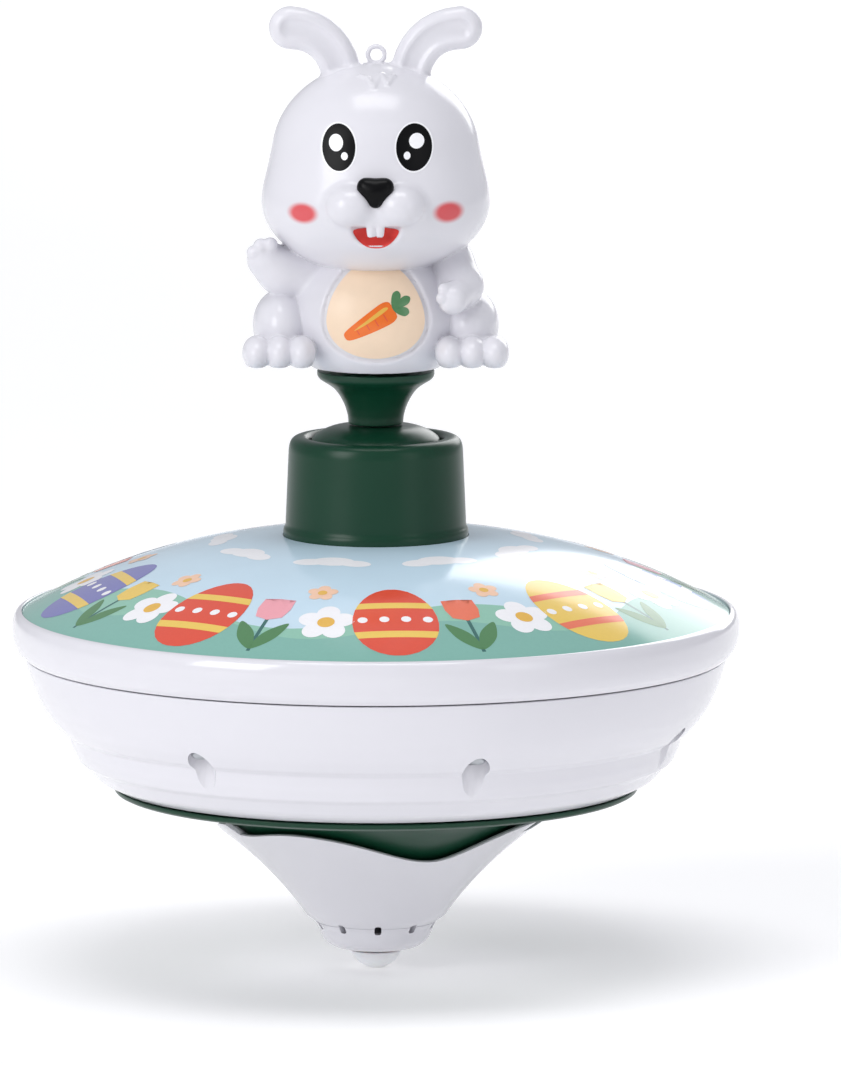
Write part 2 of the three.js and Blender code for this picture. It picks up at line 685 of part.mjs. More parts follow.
place('plunger', plunger(), darkGreen);
place('neck', neck(), darkGreen);
place('twisted_rod', twistedRod(), steel);
place('handle_screw', screw({
  headRadius: 3, headBase: -115.6, headTop: -NECK_TOP - GAP, shaftRadius: 1.4, shaftTop: -89,
}).rotateX(Math.PI), steel);
const shells = figureShells();
place('rabbit_front_shell', shells.front, white);
place('rabbit_rear_shell', shells.rear, white);
place('belly_badge', bellyBadge(), cream);

place('thrust_washer', thrustWasher(), nylon);
place('return_spring', returnSpring(), steel);
place('drive_nut', driveNut(), nylon);
place('ratchet_ring', ratchetRing(), nylon);
place('clutch_housing', clutchHousing(), white);
const clutchScrew = screw({
  headRadius: 2.2, headBase: 58.1, headTop: 59.9, shaftRadius: 1.1, shaftTop: 68,
});
ringOf(3, (azimuth, index) => (
  place(`clutch_screw_${index + 1}`, clutchScrew, steel, aroundAxis(CLUTCH_SCREW_CIRCLE, azimuth))
));

place('circuit_board', circuitBoard(), boardGreen);
const boardScrew = screw({
  headRadius: 2.4, headBase: -41.6, headTop: -BOARD_TOP - GAP, shaftRadius: 1, shaftTop: -34,
}).rotateX(Math.PI);
ringOf(3, (azimuth, index) => (
  place(`board_screw_${index + 1}`, boardScrew, steel, aroundAxis(BOARD_SCREW_CIRCLE, azimuth))
), 30);
ringOf(LAMP_COUNT, (azimuth, index) => (
  place(`lamp_${index + 1}`, lamp(), lampLens, aroundAxis(LAMP_CIRCLE, azimuth, BOARD_TOP + GAP))
));
place('sound_chip', block(10, 7, BOARD_TOP + GAP, BOARD_TOP + 2.1), blackPlastic, aroundAxis(17, -90));
place('spin_switch', disc(3, BOARD_TOP + GAP, BOARD_TOP + 9, 12), nickel, aroundAxis(17, 90));

place('battery_holder', batteryHolder(), blackPlastic);
ringOf(3, (azimuth, index) => (
  place(`cell_${index + 1}`, disc(CELL_RADIUS, CELL_BASE, CELL_BASE + CELL_HEIGHT, 20), nickel,
    aroundAxis(CELL_CIRCLE, azimuth))
));
const upperPlateBase = CELL_BASE + CELL_HEIGHT + 0.7;
place('contact_plate_lower', contactPlate(CELL_BASE - 0.8, 1.4), brass);
place('contact_plate_upper', contactPlate(upperPlateBase, 1.4), brass);
place('speaker', speaker(), blackPlastic);
place('speaker_ring', speakerRing(), blackPlastic);

const boardUnderside = BOARD_BASE - GAP;
place('battery_wire_negative', wire([
  new THREE.Vector3(0, 0, CELL_BASE - 0.6), new THREE.Vector3(0, 0, 30),
  new THREE.Vector3(1.5, 1, 33), new THREE.Vector3(2, 2, boardUnderside),
], 0.6, 6), blackWire);
place('battery_wire_positive', wire([
  new THREE.Vector3(0, 11, upperPlateBase + 0.7), new THREE.Vector3(0, 11.5, 32),
  new THREE.Vector3(1, 12, boardUnderside),
], 0.6, 6), redWire);
[-12, 12].forEach((azimuth, index) => {
  place(`speaker_wire_${index + 1}`, wire([
    aroundAxis(8.5, azimuth, 15.9), aroundAxis(11.4, azimuth, 17), aroundAxis(14.2, azimuth, 17.3),
    aroundAxis(14.7, azimuth, 19), aroundAxis(15.8, azimuth, 22), aroundAxis(16.6, azimuth, 29),
    aroundAxis(18, azimuth, boardUnderside),
  ], 0.5, 10), index === 0 ? redWire : blackWire);
});

const rimScrew = screw({
  headRadius: 1.9, headBase: 45.0, headTop: WELL_FLOOR - GAP, shaftRadius: 1.2, shaftTop: 58,
});
ringOf(RIM_SCREW_COUNT, (azimuth, index) => (
  place(`rim_screw_${index + 1}`, rimScrew, steel, aroundAxis(RIM_SCREW_CIRCLE, azimuth))
), RIM_SCREW_FIRST);

export default spinningTop;
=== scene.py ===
"""Light up spinning top: fine pieces, materials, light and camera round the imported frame."""
import json
import math

import bmesh
import bpy
import numpy as np
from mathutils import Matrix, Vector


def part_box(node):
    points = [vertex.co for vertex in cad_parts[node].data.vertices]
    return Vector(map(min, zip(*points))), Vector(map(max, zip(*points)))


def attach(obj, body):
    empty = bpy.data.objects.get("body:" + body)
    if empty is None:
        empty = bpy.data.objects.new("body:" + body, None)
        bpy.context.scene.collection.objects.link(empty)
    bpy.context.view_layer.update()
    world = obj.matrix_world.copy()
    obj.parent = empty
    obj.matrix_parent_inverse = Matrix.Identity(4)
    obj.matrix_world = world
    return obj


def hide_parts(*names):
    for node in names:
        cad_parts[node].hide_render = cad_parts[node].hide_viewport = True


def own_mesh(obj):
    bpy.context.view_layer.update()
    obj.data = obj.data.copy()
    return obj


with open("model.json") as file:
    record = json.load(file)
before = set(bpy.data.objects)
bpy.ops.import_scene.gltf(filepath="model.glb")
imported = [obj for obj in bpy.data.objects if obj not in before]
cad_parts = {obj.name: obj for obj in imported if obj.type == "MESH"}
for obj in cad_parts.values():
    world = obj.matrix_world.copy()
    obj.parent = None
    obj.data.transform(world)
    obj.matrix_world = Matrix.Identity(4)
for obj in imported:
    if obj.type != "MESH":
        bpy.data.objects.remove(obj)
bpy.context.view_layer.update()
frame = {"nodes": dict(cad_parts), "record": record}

import openvdb
from mathutils import Vector

MM = 0.001
SEGMENTS = 192          # columns round the large turned pieces
GAP = 0.3               # clearance between pieces, as in the frame
WALL = 2.0
FILM = 0.45             # thickness of the picture film
PRINT_LAYER = 0.012     # height of one printed layer over the one below it


# ------------------------------------------------------------------ places taken from the frame

def extent(node):
    """Lowest and highest corner of a frame node, in millimetres."""
    low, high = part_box(node)
    return np.array(low) / MM, np.array(high) / MM


def on_axis(distance, azimuth, z=0.0):
    """A point at a distance from the axis; azimuth in degrees from the front towards +X."""
    angle = math.radians(azimuth)
    return np.array([distance * math.sin(angle), -distance * math.cos(angle), z])


RIM_RADIUS = extent("top_cover")[1][0]
SEAM = extent("bowl")[1][2] + GAP
BOWL_FOOT = extent("bowl")[0][2]
LABEL_RADIUS = extent("picture_label")[1][0]
COLLAR_RADIUS = extent("collar")[1][0]
COLLAR_BASE, COLLAR_TOP = (corner[2] for corner in extent("collar"))
BORE_RADIUS = extent("plunger")[1][0] + 0.35
PLUNGER_TOP = extent("plunger")[1][2]
NECK_FOOT = extent("neck")[0][2]
FIGURE_BASE = extent("rabbit_front_shell")[0][2]
TRAY_RADIUS = extent("base_tray")[1][0]
TRAY_TOP = BOWL_FOOT - GAP
DOME_SLOPE, DOME_CURVE = 0.05, 0.0053     # fall of the picture's surface from the collar outwards
RIM_SCREWS = sorted(name for name in frame["nodes"] if name.startswith("rim_screw"))


# ------------------------------------------------------------------ materials

def mixed(tree, factor, low, high):
    """A colour mix node between two colours, driven by a socket."""
    mix = tree.nodes.new("ShaderNodeMix")
    mix.data_type = "RGBA"
    mix.inputs["A"].default_value = (*low, 1)
    mix.inputs["B"].default_value = (*high, 1)
    tree.links.new(factor, mix.inputs["Factor"])
    return mix.outputs["Result"]


def noise(tree, scale, detail=3.0):
    """Noise in the frame's own coordinates, in features per metre."""
    place = tree.nodes.new("ShaderNodeTexCoord")
    texture = tree.nodes.new("ShaderNodeTexNoise")
    texture.inputs["Scale"].default_value = scale
    texture.inputs["Detail"].default_value = detail
    tree.links.new(place.outputs["Object"], texture.inputs["Vector"])
    return texture.outputs["Fac"]


def finish(name, colour, roughness, variation=0.03, grain=220, bump=0.0, **settings):
    """A moulded or metal finish: uneven tone and gloss from slow noise, and a fine surface grain."""
    material = bpy.data.materials.new(name)
    material.use_nodes = True
    tree = material.node_tree
    shader = tree.nodes["Principled BSDF"]
    slow = noise(tree, grain)
    dark = [channel * (1 - variation) for channel in colour]
    light = [min(1.0, channel * (1 + variation)) for channel in colour]
    tree.links.new(mixed(tree, slow, dark, light), shader.inputs["Base Color"])
    gloss = tree.nodes.new("ShaderNodeMapRange")
    gloss.inputs["To Min"].default_value = roughness * 0.85
    gloss.inputs["To Max"].default_value = roughness * 1.2
    tree.links.new(slow, gloss.inputs["Value"])
    tree.links.new(gloss.outputs["Result"], shader.inputs["Roughness"])
    if bump:
        relief = tree.nodes.new("ShaderNodeBump")
        relief.inputs["Strength"].default_value = bump
        relief.inputs["Distance"].default_value = 0.05 * MM
        tree.links.new(noise(tree, 4000), relief.inputs["Height"])
        tree.links.new(relief.outputs["Normal"], shader.inputs["Normal"])
    for socket, value in settings.items():
        shader.inputs[socket.replace("_", " ")].default_value = value
    return material


def rgb(code):
    """Linear colour from a screen colour code such as 'e6c35a'."""
    screen = [int(code[i:i + 2], 16) / 255 for i in (0, 2, 4)]
    return [c / 12.92 if c <= 0.04045 else ((c + 0.055) / 1.055) ** 2.4 for c in screen]


def blush(material, spots, colour):
    """Soft sprayed spots: each is (x, z, half width, half height) on the front of the figure."""
    tree = material.node_tree
    shader = tree.nodes["Principled BSDF"]
    base = shader.inputs["Base Color"].links[0].from_socket
    place = tree.nodes.new("ShaderNodeTexCoord")
    for x, z, half_width, half_height in spots:
        mapping = tree.nodes.new("ShaderNodeMapping")
        mapping.vector_type = "TEXTURE"
        mapping.inputs["Location"].default_value = (x * MM, -18 * MM, z * MM)
        mapping.inputs["Scale"].default_value = (half_width * MM, 9 * MM, half_height * MM)
        tree.links.new(place.outputs["Object"], mapping.inputs["Vector"])
        length = tree.nodes.new("ShaderNodeVectorMath")
        length.operation = "LENGTH"
        tree.links.new(mapping.outputs["Vector"], length.inputs[0])
        fade = tree.nodes.new("ShaderNodeMapRange")
        fade.interpolation_type = "SMOOTHSTEP"
        fade.inputs["From Min"].default_value = 1.15
        fade.inputs["From Max"].default_value = 0.62
        tree.links.new(length.outputs["Value"], fade.inputs["Value"])
        mix = tree.nodes.new("ShaderNodeMix")
        mix.data_type = "RGBA"
        mix.inputs["B"].default_value = (*colour, 1)
        tree.links.new(fade.outputs["Result"], mix.inputs["Factor"])
        tree.links.new(base, mix.inputs["A"])
        base = mix.outputs["Result"]
    tree.links.new(base, shader.inputs["Base Color"])


WHITE = rgb("e3e2e8")
MATERIALS = {
    "white": finish("white_plastic", WHITE, 0.16, 0.012, 60, Coat_Weight=0.35, Coat_Roughness=0.04),
    "dark_green": finish("dark_green_plastic", rgb("0c3b28"), 0.3, 0.06, 120, 0.03, Specular_IOR_Level=0.3),
    "picture": finish("picture_film", rgb("cbe3f2"), 0.14, 0.04, 90),
    "badge_cream": finish("badge_cream", rgb("f6dcc0"), 0.35, 0.04, 400, 0.1),
    "nylon": finish("nylon", rgb("f4f4f6"), 0.3, 0.03, 300, 0.15, Subsurface_Weight=0.1),
    "black_plastic": finish("black_plastic", rgb("1c1c1f"), 0.4, 0.2, 500, 0.2),
    "board": finish("circuit_board", rgb("1f5c34"), 0.35, 0.25, 700, 0.1),
    "lamp_lens": finish("lamp_lens", rgb("f2f4ff"), 0.06, 0.02, 200, Transmission_Weight=0.8),
    "wire_red": finish("red_insulation", rgb("b3261e"), 0.45, 0.1, 600, 0.1),
    "wire_black": finish("black_insulation", rgb("1d1d1f"), 0.45, 0.2, 600, 0.1),
    "steel": finish("plated_steel", rgb("b4b7bb"), 0.3, 0.12, 900, 0.2, Metallic=1.0),
    "nickel": finish("nickel_plate", rgb("d2cfc6"), 0.22, 0.08, 700, 0.1, Metallic=1.0),
    "brass": finish("sprung_brass", rgb("c8a04c"), 0.3, 0.12, 700, 0.1, Metallic=1.0),
}
rabbit_white = finish(
    "rabbit_white_plastic", WHITE, 0.2, 0.012, 60, Coat_Weight=0.05, Specular_IOR_Level=0.4)

INKS = {
    "white": "f8f8fb", "yellow": "f0cc62", "gold": "e9b850", "purple": "7b7cba", "blue": "6f94d8",
    "leaf": "55875a", "stem": "3f6f6a", "hill": "84b8ac", "pale_hill": "93c6b2", "red": "e2553f",
    "coral": "ee7a5c", "pink": "f4a9b4", "orange": "f07428", "peach": "f7cdb0",
}


def ink(name):
    """A printed ink under the gloss film, with the fine tooth of the print."""
    return finish(f"ink_{name}", rgb(INKS[name]), 0.14, 0.035, 1500)


# ------------------------------------------------------------------ making pieces

def shade(obj, sharp_degrees=32):
    """Smooth shading that keeps edges sharper than an angle."""
    obj.data.shade_smooth()
    obj.data.set_sharp_from_angle(angle=math.radians(sharp_degrees))


def piece(name, points, faces, material, body, stands_for=(), slot=None):
    """Makes one visible piece from points in millimetres and puts it on a body of the frame."""
    mesh = bpy.data.meshes.new(name)
    mesh.from_pydata((np.asarray(points) * MM).tolist(), [], faces)
    mesh.materials.append(material)
    obj = bpy.data.objects.new(name, mesh)
    bpy.context.scene.collection.objects.link(obj)
    work = bmesh.new()
    work.from_mesh(mesh)
    bmesh.ops.remove_doubles(work, verts=work.verts, dist=1e-4 * MM)
    bmesh.ops.recalc_face_normals(work, faces=work.faces)
    work.to_mesh(mesh)
    work.free()
    shade(obj)
    if body:
        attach(obj, body)
    if stands_for:
        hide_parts(*stands_for)
    return obj


def rounded(corners, steps=5):
    """Rounds a closed (radius, height) outline; a corner's third number is how far back it rounds."""
    outline = []
    for index, corner in enumerate(corners):
        here = np.array(corner[:2], float)
        if len(corner) < 3:
            outline.append(here)
            continue
        arms = []
        for neighbour in (corners[index - 1], corners[(index + 1) % len(corners)]):
            away = np.array(neighbour[:2], float) - here
            reach = np.linalg.norm(away)
            arms.append(here + away / reach * min(corner[2], reach / 2))
        for t in np.linspace(0, 1, steps + 1):
            outline.append((1 - t) ** 2 * arms[0] + 2 * t * (1 - t) * here + t * t * arms[1])
    return outline


def around(columns):
    """Points and faces of a closed ring of outlines, one list of 3-D points per column."""
    rows = len(columns[0])
    points = np.concatenate(columns)
    faces = []
    for column in range(len(columns)):
        here, there = column * rows, (column + 1) % len(columns) * rows
        for row in range(rows):
            above = (row + 1) % rows
            faces.append((here + row, there + row, there + above, here + above))
    return points, faces


def turned(outline, segments=SEGMENTS, centre=(0, 0)):
    """A closed outline turned about an upright axis."""
    columns = []
    for azimuth in np.linspace(0, 360, segments, endpoint=False):
        columns.append([on_axis(r, azimuth, z) + (*centre, 0) for r, z in outline])
    return around(columns)


def cutter(points, faces):
    """A solid to carve with."""
    return piece("cutter", points, faces, MATERIALS["white"], None)


def carve(obj, tools):
    """Cuts tool objects out of a piece and removes them."""
    bpy.ops.object.select_all(action="DESELECT")
    for tool in tools:
        tool.select_set(True)
    bpy.context.view_layer.objects.active = tools[0]
    if len(tools) > 1:
        bpy.ops.object.join()
    joined = tools[0]
    modifier = obj.modifiers.new("cut", "BOOLEAN")
    modifier.operation = "DIFFERENCE"
    modifier.solver = "EXACT"
    modifier.object = joined
    depsgraph = bpy.context.evaluated_depsgraph_get()
    result = bpy.data.meshes.new_from_object(obj.evaluated_get(depsgraph))
    obj.modifiers.clear()
    obj.data = result
    shade(obj, 28)
    bpy.data.objects.remove(joined)


# ------------------------------------------------------------------ body shells

def dome_height(radius):
    """Height of the picture's surface at a distance from the axis."""
    reach = radius - COLLAR_RADIUS
    return COLLAR_BASE - DOME_SLOPE * reach - DOME_CURVE * reach * reach


def dome_line(inner, outer, drop, steps=40):
    return [(r, dome_height(r) - drop) for r in np.linspace(inner, outer, steps)]


def flare(share):
    """A point (radius, height) on the lower cone's flared side, from its foot (0) to its edge (1)."""
    foot, pull, edge = np.array([12.3, 9.4]), np.array([19.5, 20.0]), np.array([32.2, 28.6])
    return (1 - share) ** 2 * foot + 2 * share * (1 - share) * pull + share ** 2 * edge


def screw_place(node):
    """Plan position of a screw's axis."""
    low, high = extent(node)
    return ((low + high) / 2)[:2]


def make_bowl():
    """The two-tier bowl, with a well for each screw cut up into its side."""
    well_ceiling = extent(RIM_SCREWS[0])[0][2] + 2.0
    outside = [
        (47.0, BOWL_FOOT, 0.5), (50.3, 35.2, 0.8), (52.2, 37.5, 0.35), (53.4, 38.3, 0.4), (54.3, 40.2, 0.6),
        (55.1, 42.9, 0.35), (56.6, 43.9, 0.4), (58.4, 46.0, 0.9), (60.2, 48.8, 1.0),
        (61.6, 52.0, 1.0), (62.5, 55.0, 0.8), (62.9, SEAM - GAP, 0.25),
    ]
    inside = [
        (60.9, SEAM - GAP), (59.6, 52.0), (58.2, 49.6), (53.4, 44.2), (51.2, 39.4),
        (47.6, BOWL_FOOT + 2.0), (40.0, BOWL_FOOT + 1.6), (40.0, BOWL_FOOT),
    ]
    bowl = piece("moulded_bowl", *turned(rounded(outside + inside)), MATERIALS["white"],
                 "top_body", ["bowl"], "white")
    wells = []
    for node in RIM_SCREWS:
        outline = rounded([(0, 30), (2.4, 30), (2.5, well_ceiling, 0.3), (0, well_ceiling)])
        wells.append(cutter(*turned(outline, 40, screw_place(node))))
    carve(bowl, wells)


def make_cover():
    """The rim bead, and the dome that carries the picture."""
    top = [
        (63.1, SEAM), (64.25, 58.1, 0.6), (65.0, 59.9, 0.9), (RIM_RADIUS, 61.9, 1.0),
        (65.0, 63.7, 0.8), (64.45, 64.7, 0.5), (LABEL_RADIUS + 0.12, 65.0, 0.25),
    ]
    skin = dome_line(COLLAR_RADIUS - 1, LABEL_RADIUS + 0.12, 0.55)[::-1]
    inside = dome_line(COLLAR_RADIUS - 1, 60.6, 0.8 + WALL)
    foot = [(61.4, SEAM)]
    piece("moulded_cover", *turned(rounded(top) + skin + inside + foot), MATERIALS["white"],
          "top_body", ["top_cover"], "white")


def make_collar():
    """The tapered collar on the cover, with a foot lip and a rounded mouth."""
    outline = rounded([
        (BORE_RADIUS, COLLAR_BASE - 0.4), (COLLAR_RADIUS, COLLAR_BASE - 0.4),
        (COLLAR_RADIUS, COLLAR_BASE + 1.1, 0.5), (16.2, COLLAR_BASE + 1.8, 0.5),
        (15.6, COLLAR_TOP - 1.9, 0.8), (15.2, COLLAR_TOP - 0.6, 0.7), (14.2, COLLAR_TOP, 0.8),
        (12.6, COLLAR_TOP, 0.5), (BORE_RADIUS, COLLAR_TOP - 0.7, 0.5),
    ])
    piece("moulded_collar", *turned(outline), MATERIALS["dark_green"], "top_body", ["collar"], "dark_green")


def make_plunger():
    """The domed plunger that slides in the collar."""
    skirt = BORE_RADIUS - 0.35
    outline = rounded([
        (10.1, PLUNGER_TOP - 11.8), (skirt, PLUNGER_TOP - 11.8, 0.3), (skirt, PLUNGER_TOP - 2.7, 0.8),
        (11.0, PLUNGER_TOP - 1.9, 0.9), (9.4, PLUNGER_TOP - 0.9, 1.0), (7.6, PLUNGER_TOP - 0.25, 0.9),
        (5.6, PLUNGER_TOP), (1.8, PLUNGER_TOP), (1.8, PLUNGER_TOP - 5.6), (10.1, PLUNGER_TOP - 5.6),
    ])
    piece("moulded_plunger", *turned(outline, 128), MATERIALS["dark_green"],
          "handle", ["plunger"], "dark_green")


def make_neck():
    """The trumpet between plunger and figure, with the flange that the figure stands on."""
    base = NECK_FOOT
    outline = rounded([
        (1.8, base), (4.9, base, 0.2), (5.0, base + 1.4, 0.6), (5.5, base + 3.2, 0.8),
        (6.4, base + 5.0, 0.8), (7.4, base + 6.3, 0.6), (8.3, base + 7.0, 0.4),
        (10.1, base + 8.1, 0.4), (10.5, base + 8.7, 0.3), (10.5, base + 9.6, 0.15),
        (5.9, base + 9.6), (5.9, base + 12.5), (8.0, base + 12.5), (8.0, base + 14.4, 0.3),
        (1.8, base + 14.4),
    ])
    piece("moulded_neck", *turned(outline, 128), MATERIALS["dark_green"], "handle", ["neck"], "dark_green")


def make_tray():
    """The tray under the bowl, whose funnel shows above the cone's wavy edge."""
    inset = 2.4
    funnel = [tuple(flare(share) - (inset, 0)) for share in np.linspace(0.42, 1, 14)]
    inner = [tuple(flare(share) - (inset + 2.0, 0)) for share in np.linspace(1, 0.47, 8)]
    rim = rounded([
        (32.6, 30.2), (34.4, 31.2, 0.6), (36.6, 31.75, 0.8), (45.9, 31.95, 0.4),
        (TRAY_RADIUS, 32.5, 0.35), (TRAY_RADIUS, TRAY_TOP, 0.15), (36, TRAY_TOP), (33.0, 32.6),
    ])
    outline = [(2, 18)] + funnel + rim + inner + [(2, 19.6)]
    piece("moulded_tray", *turned(outline), MATERIALS["dark_green"],
          "top_body", ["base_tray"], "dark_green")


def wave_edge(share):
    """How far up the flare the wavy edge stands, at a share (0 to 1) of the way round one lobe."""
    stops = [(0.0, 0.88), (0.24, 0.97), (0.68, 0.66), (1.0, 1.0)]
    for (start, low), (end, high) in zip(stops, stops[1:]):
        if share <= end:
            ease = (1 - math.cos(math.pi * (share - start) / (end - start))) / 2
            return low + (high - low) * ease
    return 1.0


def cone_column(azimuth, edge):
    """The cone's section at one azimuth, where its edge stands at a share of the flare."""
    foot = rounded([
        (2.9, 3.4), (4.8, 3.4), (7.6, 3.9, 0.7), (9.2, 5.0, 0.7), (9.9, 6.3, 0.6), (10.4, 7.7, 0.4),
        (11.0, 8.6, 0.4),
    ])
    side = [flare(t * edge) for t in np.linspace(0.02, 1, 26)]
    lip = flare(edge)
    crown = [lip + (-0.25, 0.22), lip + (-0.9, 0.25), lip + (-1.5, -0.1)]
    inner = [flare(t) - (1.8, 0) for t in np.linspace(edge - 0.03, 0.2, 12)]
    core = [
        (13.2, 12.9), (9.8, 12.9), (9.8, 11.4), (8.4, 9.6), (7.8, 5.6), (4.3, 5.2), (4.3, 9.0), (2.9, 9.0),
    ]
    return [on_axis(r, azimuth, z) for r, z in foot + side + crown + inner + core]


def make_cone():
    """The lower cone: three lobes along its edge, each ending in a step, and a band of sound slots."""
    lobes, start, per_lobe, step_width = 3, -56.0, 84, 0.7
    lobe = 360 / lobes
    columns = []
    for column in range(lobes * per_lobe):
        share = (column % per_lobe) / (per_lobe - 1)
        azimuth = start + column // per_lobe * lobe + share * (lobe - step_width)
        columns.append(cone_column(azimuth, wave_edge(share)))
    cone = piece("moulded_cone", *around(columns), MATERIALS["white"], "top_body", ["lower_cone"], "white")
    slots = []
    for azimuth in np.arange(2, 362, 36):
        outline = [(-0.62, 7.35), (0.62, 7.35), (0.62, 9.0), (-0.62, 9.0)]
        slots.append(cutter(*pushed_through(rounded([(*corner, 0.45) for corner in outline], 4), azimuth)))
    carve(cone, slots)


def pushed_through(outline, azimuth):
    """An upright outline (along the tangent, height) swept radially from 7 to 14 mm off the axis."""
    tangent = on_axis(1, azimuth + 90)
    rings = [[on_axis(reach, azimuth, z) + tangent * u for u, z in outline] for reach in (7, 14)]
    count = len(outline)
    faces = [(i, (i + 1) % count, count + (i + 1) % count, count + i) for i in range(count)]
    faces += [tuple(range(count)), tuple(range(2 * count - 1, count - 1, -1))]
    return np.concatenate(rings), faces


def make_tip():
    """The rounded tip that the top spins on."""
    outline = rounded([
        (0, 0), (1.4, 0, 0.5), (3.1, 0.85, 0.9), (4.15, 2.0, 0.8), (4.5, 3.1, 0.25), (2.5, 3.1),
        (2.5, 8.6, 0.3), (0, 8.6),
    ])
    piece("turned_tip", *turned(outline, 96), MATERIALS["nylon"], "top_body", ["spin_tip"], "nylon")


def make_screw(name, node):
    """A pan head screw driven upwards, with a cross recess in the head."""
    head_radius, shaft_radius = 1.9, 1.2
    low, high = extent(node)
    centre = screw_place(node)
    head = 1.7
    outline = rounded([
        (0, low[2]), (head_radius * 0.7, low[2] + 0.15, 0.4), (head_radius, low[2] + 0.8, 0.3),
        (head_radius, low[2] + head, 0.1), (shaft_radius, low[2] + head), (shaft_radius, high[2] - 1.2),
        (0, high[2]),
    ])
    screw = piece(name, *turned(outline, 48, centre), MATERIALS["steel"], "top_body", [node], "steel")
    recess = []
    for turn in (0, 90):
        half_length, half_width = head_radius * 0.55, head_radius * 0.14
        along, across = on_axis(1, turn + 45), on_axis(1, turn + 135)
        corners = [(-1, -1), (1, -1), (1, 1), (-1, 1)]
        rings = [
            [(*centre, z) + along * a * half_length * taper + across * b * half_width for a, b in corners]
            for z, taper in ((low[2] - 0.5, 1.0), (low[2] + 0.9, 0.6))
        ]
        faces = [(0, 1, 2, 3), (7, 6, 5, 4)] + [(i, 4 + i, 4 + (i + 1) % 4, (i + 1) % 4) for i in range(4)]
        recess.append(cutter(np.concatenate(rings), faces))
    for tool in recess:
        carve(screw, [tool])


def make_spring():
    """The return spring: a round wire on a helix, built at one length; the real spring shortens as the
    handle is pressed.
    """
    low, high = extent("return_spring")
    wire, turns, steps, sides = 0.5, 6, 40, 12
    radius = high[0] - wire
    heights = np.linspace(low[2] + wire, high[2] - wire, turns * steps + 1)
    points, faces = [], []
    for index, height in enumerate(heights):
        azimuth = index * 360 / steps
        for angle in np.linspace(0, math.tau, sides, endpoint=False):
            reach, rise = wire * math.cos(angle), wire * math.sin(angle)
            points.append(on_axis(radius + reach, azimuth, height + rise))
    for start in range(0, len(points) - sides, sides):
        for side in range(sides):
            beside = (side + 1) % sides
            faces.append((start + side, start + beside, start + sides + beside, start + sides + side))
    faces += [tuple(range(sides)), tuple(range(len(points) - 1, len(points) - sides - 1, -1))]
    spring = piece("coiled_spring", points, faces, MATERIALS["steel"],
                   "spring_seat", ["return_spring"], "steel")
    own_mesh(spring)


# ------------------------------------------------------------------ printed shapes

def ellipse(x, y, half_width, half_height, tilt=0.0, count=26):
    """An ellipse about (x, y), its width turned by a tilt in degrees."""
    angle = np.linspace(0, 2 * math.pi, count, endpoint=False)
    u, v = half_width * np.cos(angle), half_height * np.sin(angle)
    c, s = math.cos(math.radians(tilt)), math.sin(math.radians(tilt))
    return np.stack([x + u * c - v * s, y + u * s + v * c], 1)


def smooth(points, steps=5):
    """A closed curve through the points."""
    points = np.asarray(points, float)
    before, after, next_after = np.roll(points, 1, 0), np.roll(points, -1, 0), np.roll(points, -2, 0)
    curve = []
    for i in range(len(points)):
        for t in np.linspace(0, 1, steps, endpoint=False):
            curve.append(0.5 * (
                2 * points[i] + (after[i] - before[i]) * t
                + (2 * before[i] - 5 * points[i] + 4 * after[i] - next_after[i]) * t ** 2
                + (3 * points[i] - before[i] - 3 * after[i] + next_after[i]) * t ** 3
            ))
    return np.array(curve)


def moved(outline, x=0.0, y=0.0, tilt=0.0):
    """An outline turned by a tilt in degrees and shifted."""
    c, s = math.cos(math.radians(tilt)), math.sin(math.radians(tilt))
    return outline @ np.array([[c, s], [-s, c]]) + (x, y)


def clipped(outline, radius):
    """Cuts an outline in plan back to a disc about the origin."""
    if np.hypot(*outline.T).max() <= radius:
        return outline
    middle = math.degrees(math.atan2(outline[:, 0].mean(), -outline[:, 1].mean()))
    kept = [np.array(point) for point in outline]
    for azimuth in np.arange(middle - 40, middle + 41, 2):
        normal = on_axis(1, azimuth)[:2]
        result = []
        for here, there in zip(kept, kept[1:] + kept[:1]):
            a, b = here @ normal - radius, there @ normal - radius
            if a <= 0:
                result.append(here)
            if a * b < 0:
                result.append(here + (there - here) * a / (a - b))
        kept = result
        if len(kept) < 3:
            return None
    return np.array(kept)


def filled(outline, step):
    """Fills an outline with faces no longer than a step, so that they can follow a curved surface."""
    work = bmesh.new()
    work.faces.new([work.verts.new((*point, 0)) for point in outline])
    bmesh.ops.triangulate(work, faces=work.faces[:])
    for axis in (0, 1):
        low, high = outline[:, axis].min(), outline[:, axis].max()
        for line in np.arange(math.ceil(low / step) * step, high, step):
            place, normal = Vector((0, 0, 0)), Vector((0, 0, 0))
            place[axis], normal[axis] = line, 1
            everything = work.verts[:] + work.edges[:] + work.faces[:]
            bmesh.ops.bisect_plane(work, geom=everything, dist=1e-5, plane_co=place, plane_no=normal)
    work.verts.index_update()
    points = np.array([vertex.co[:2] for vertex in work.verts])
    faces = [[vertex.index for vertex in face.verts] for face in work.faces]
    work.free()
    return points, faces


def face_surface_outward(mesh, normals):
    """Turns faces to the side of the surface's normals and shades them with those normals."""
    work = bmesh.new()
    work.from_mesh(mesh)
    work.faces.ensure_lookup_table()
    for face in work.faces:
        face.normal_update()
        if face.normal.dot(Vector(normals[face.verts[0].index])) < 0:
            face.normal_flip()
    work.to_mesh(mesh)
    work.free()
    mesh.shade_smooth()
    mesh.normals_split_custom_set_from_vertices(normals.tolist())


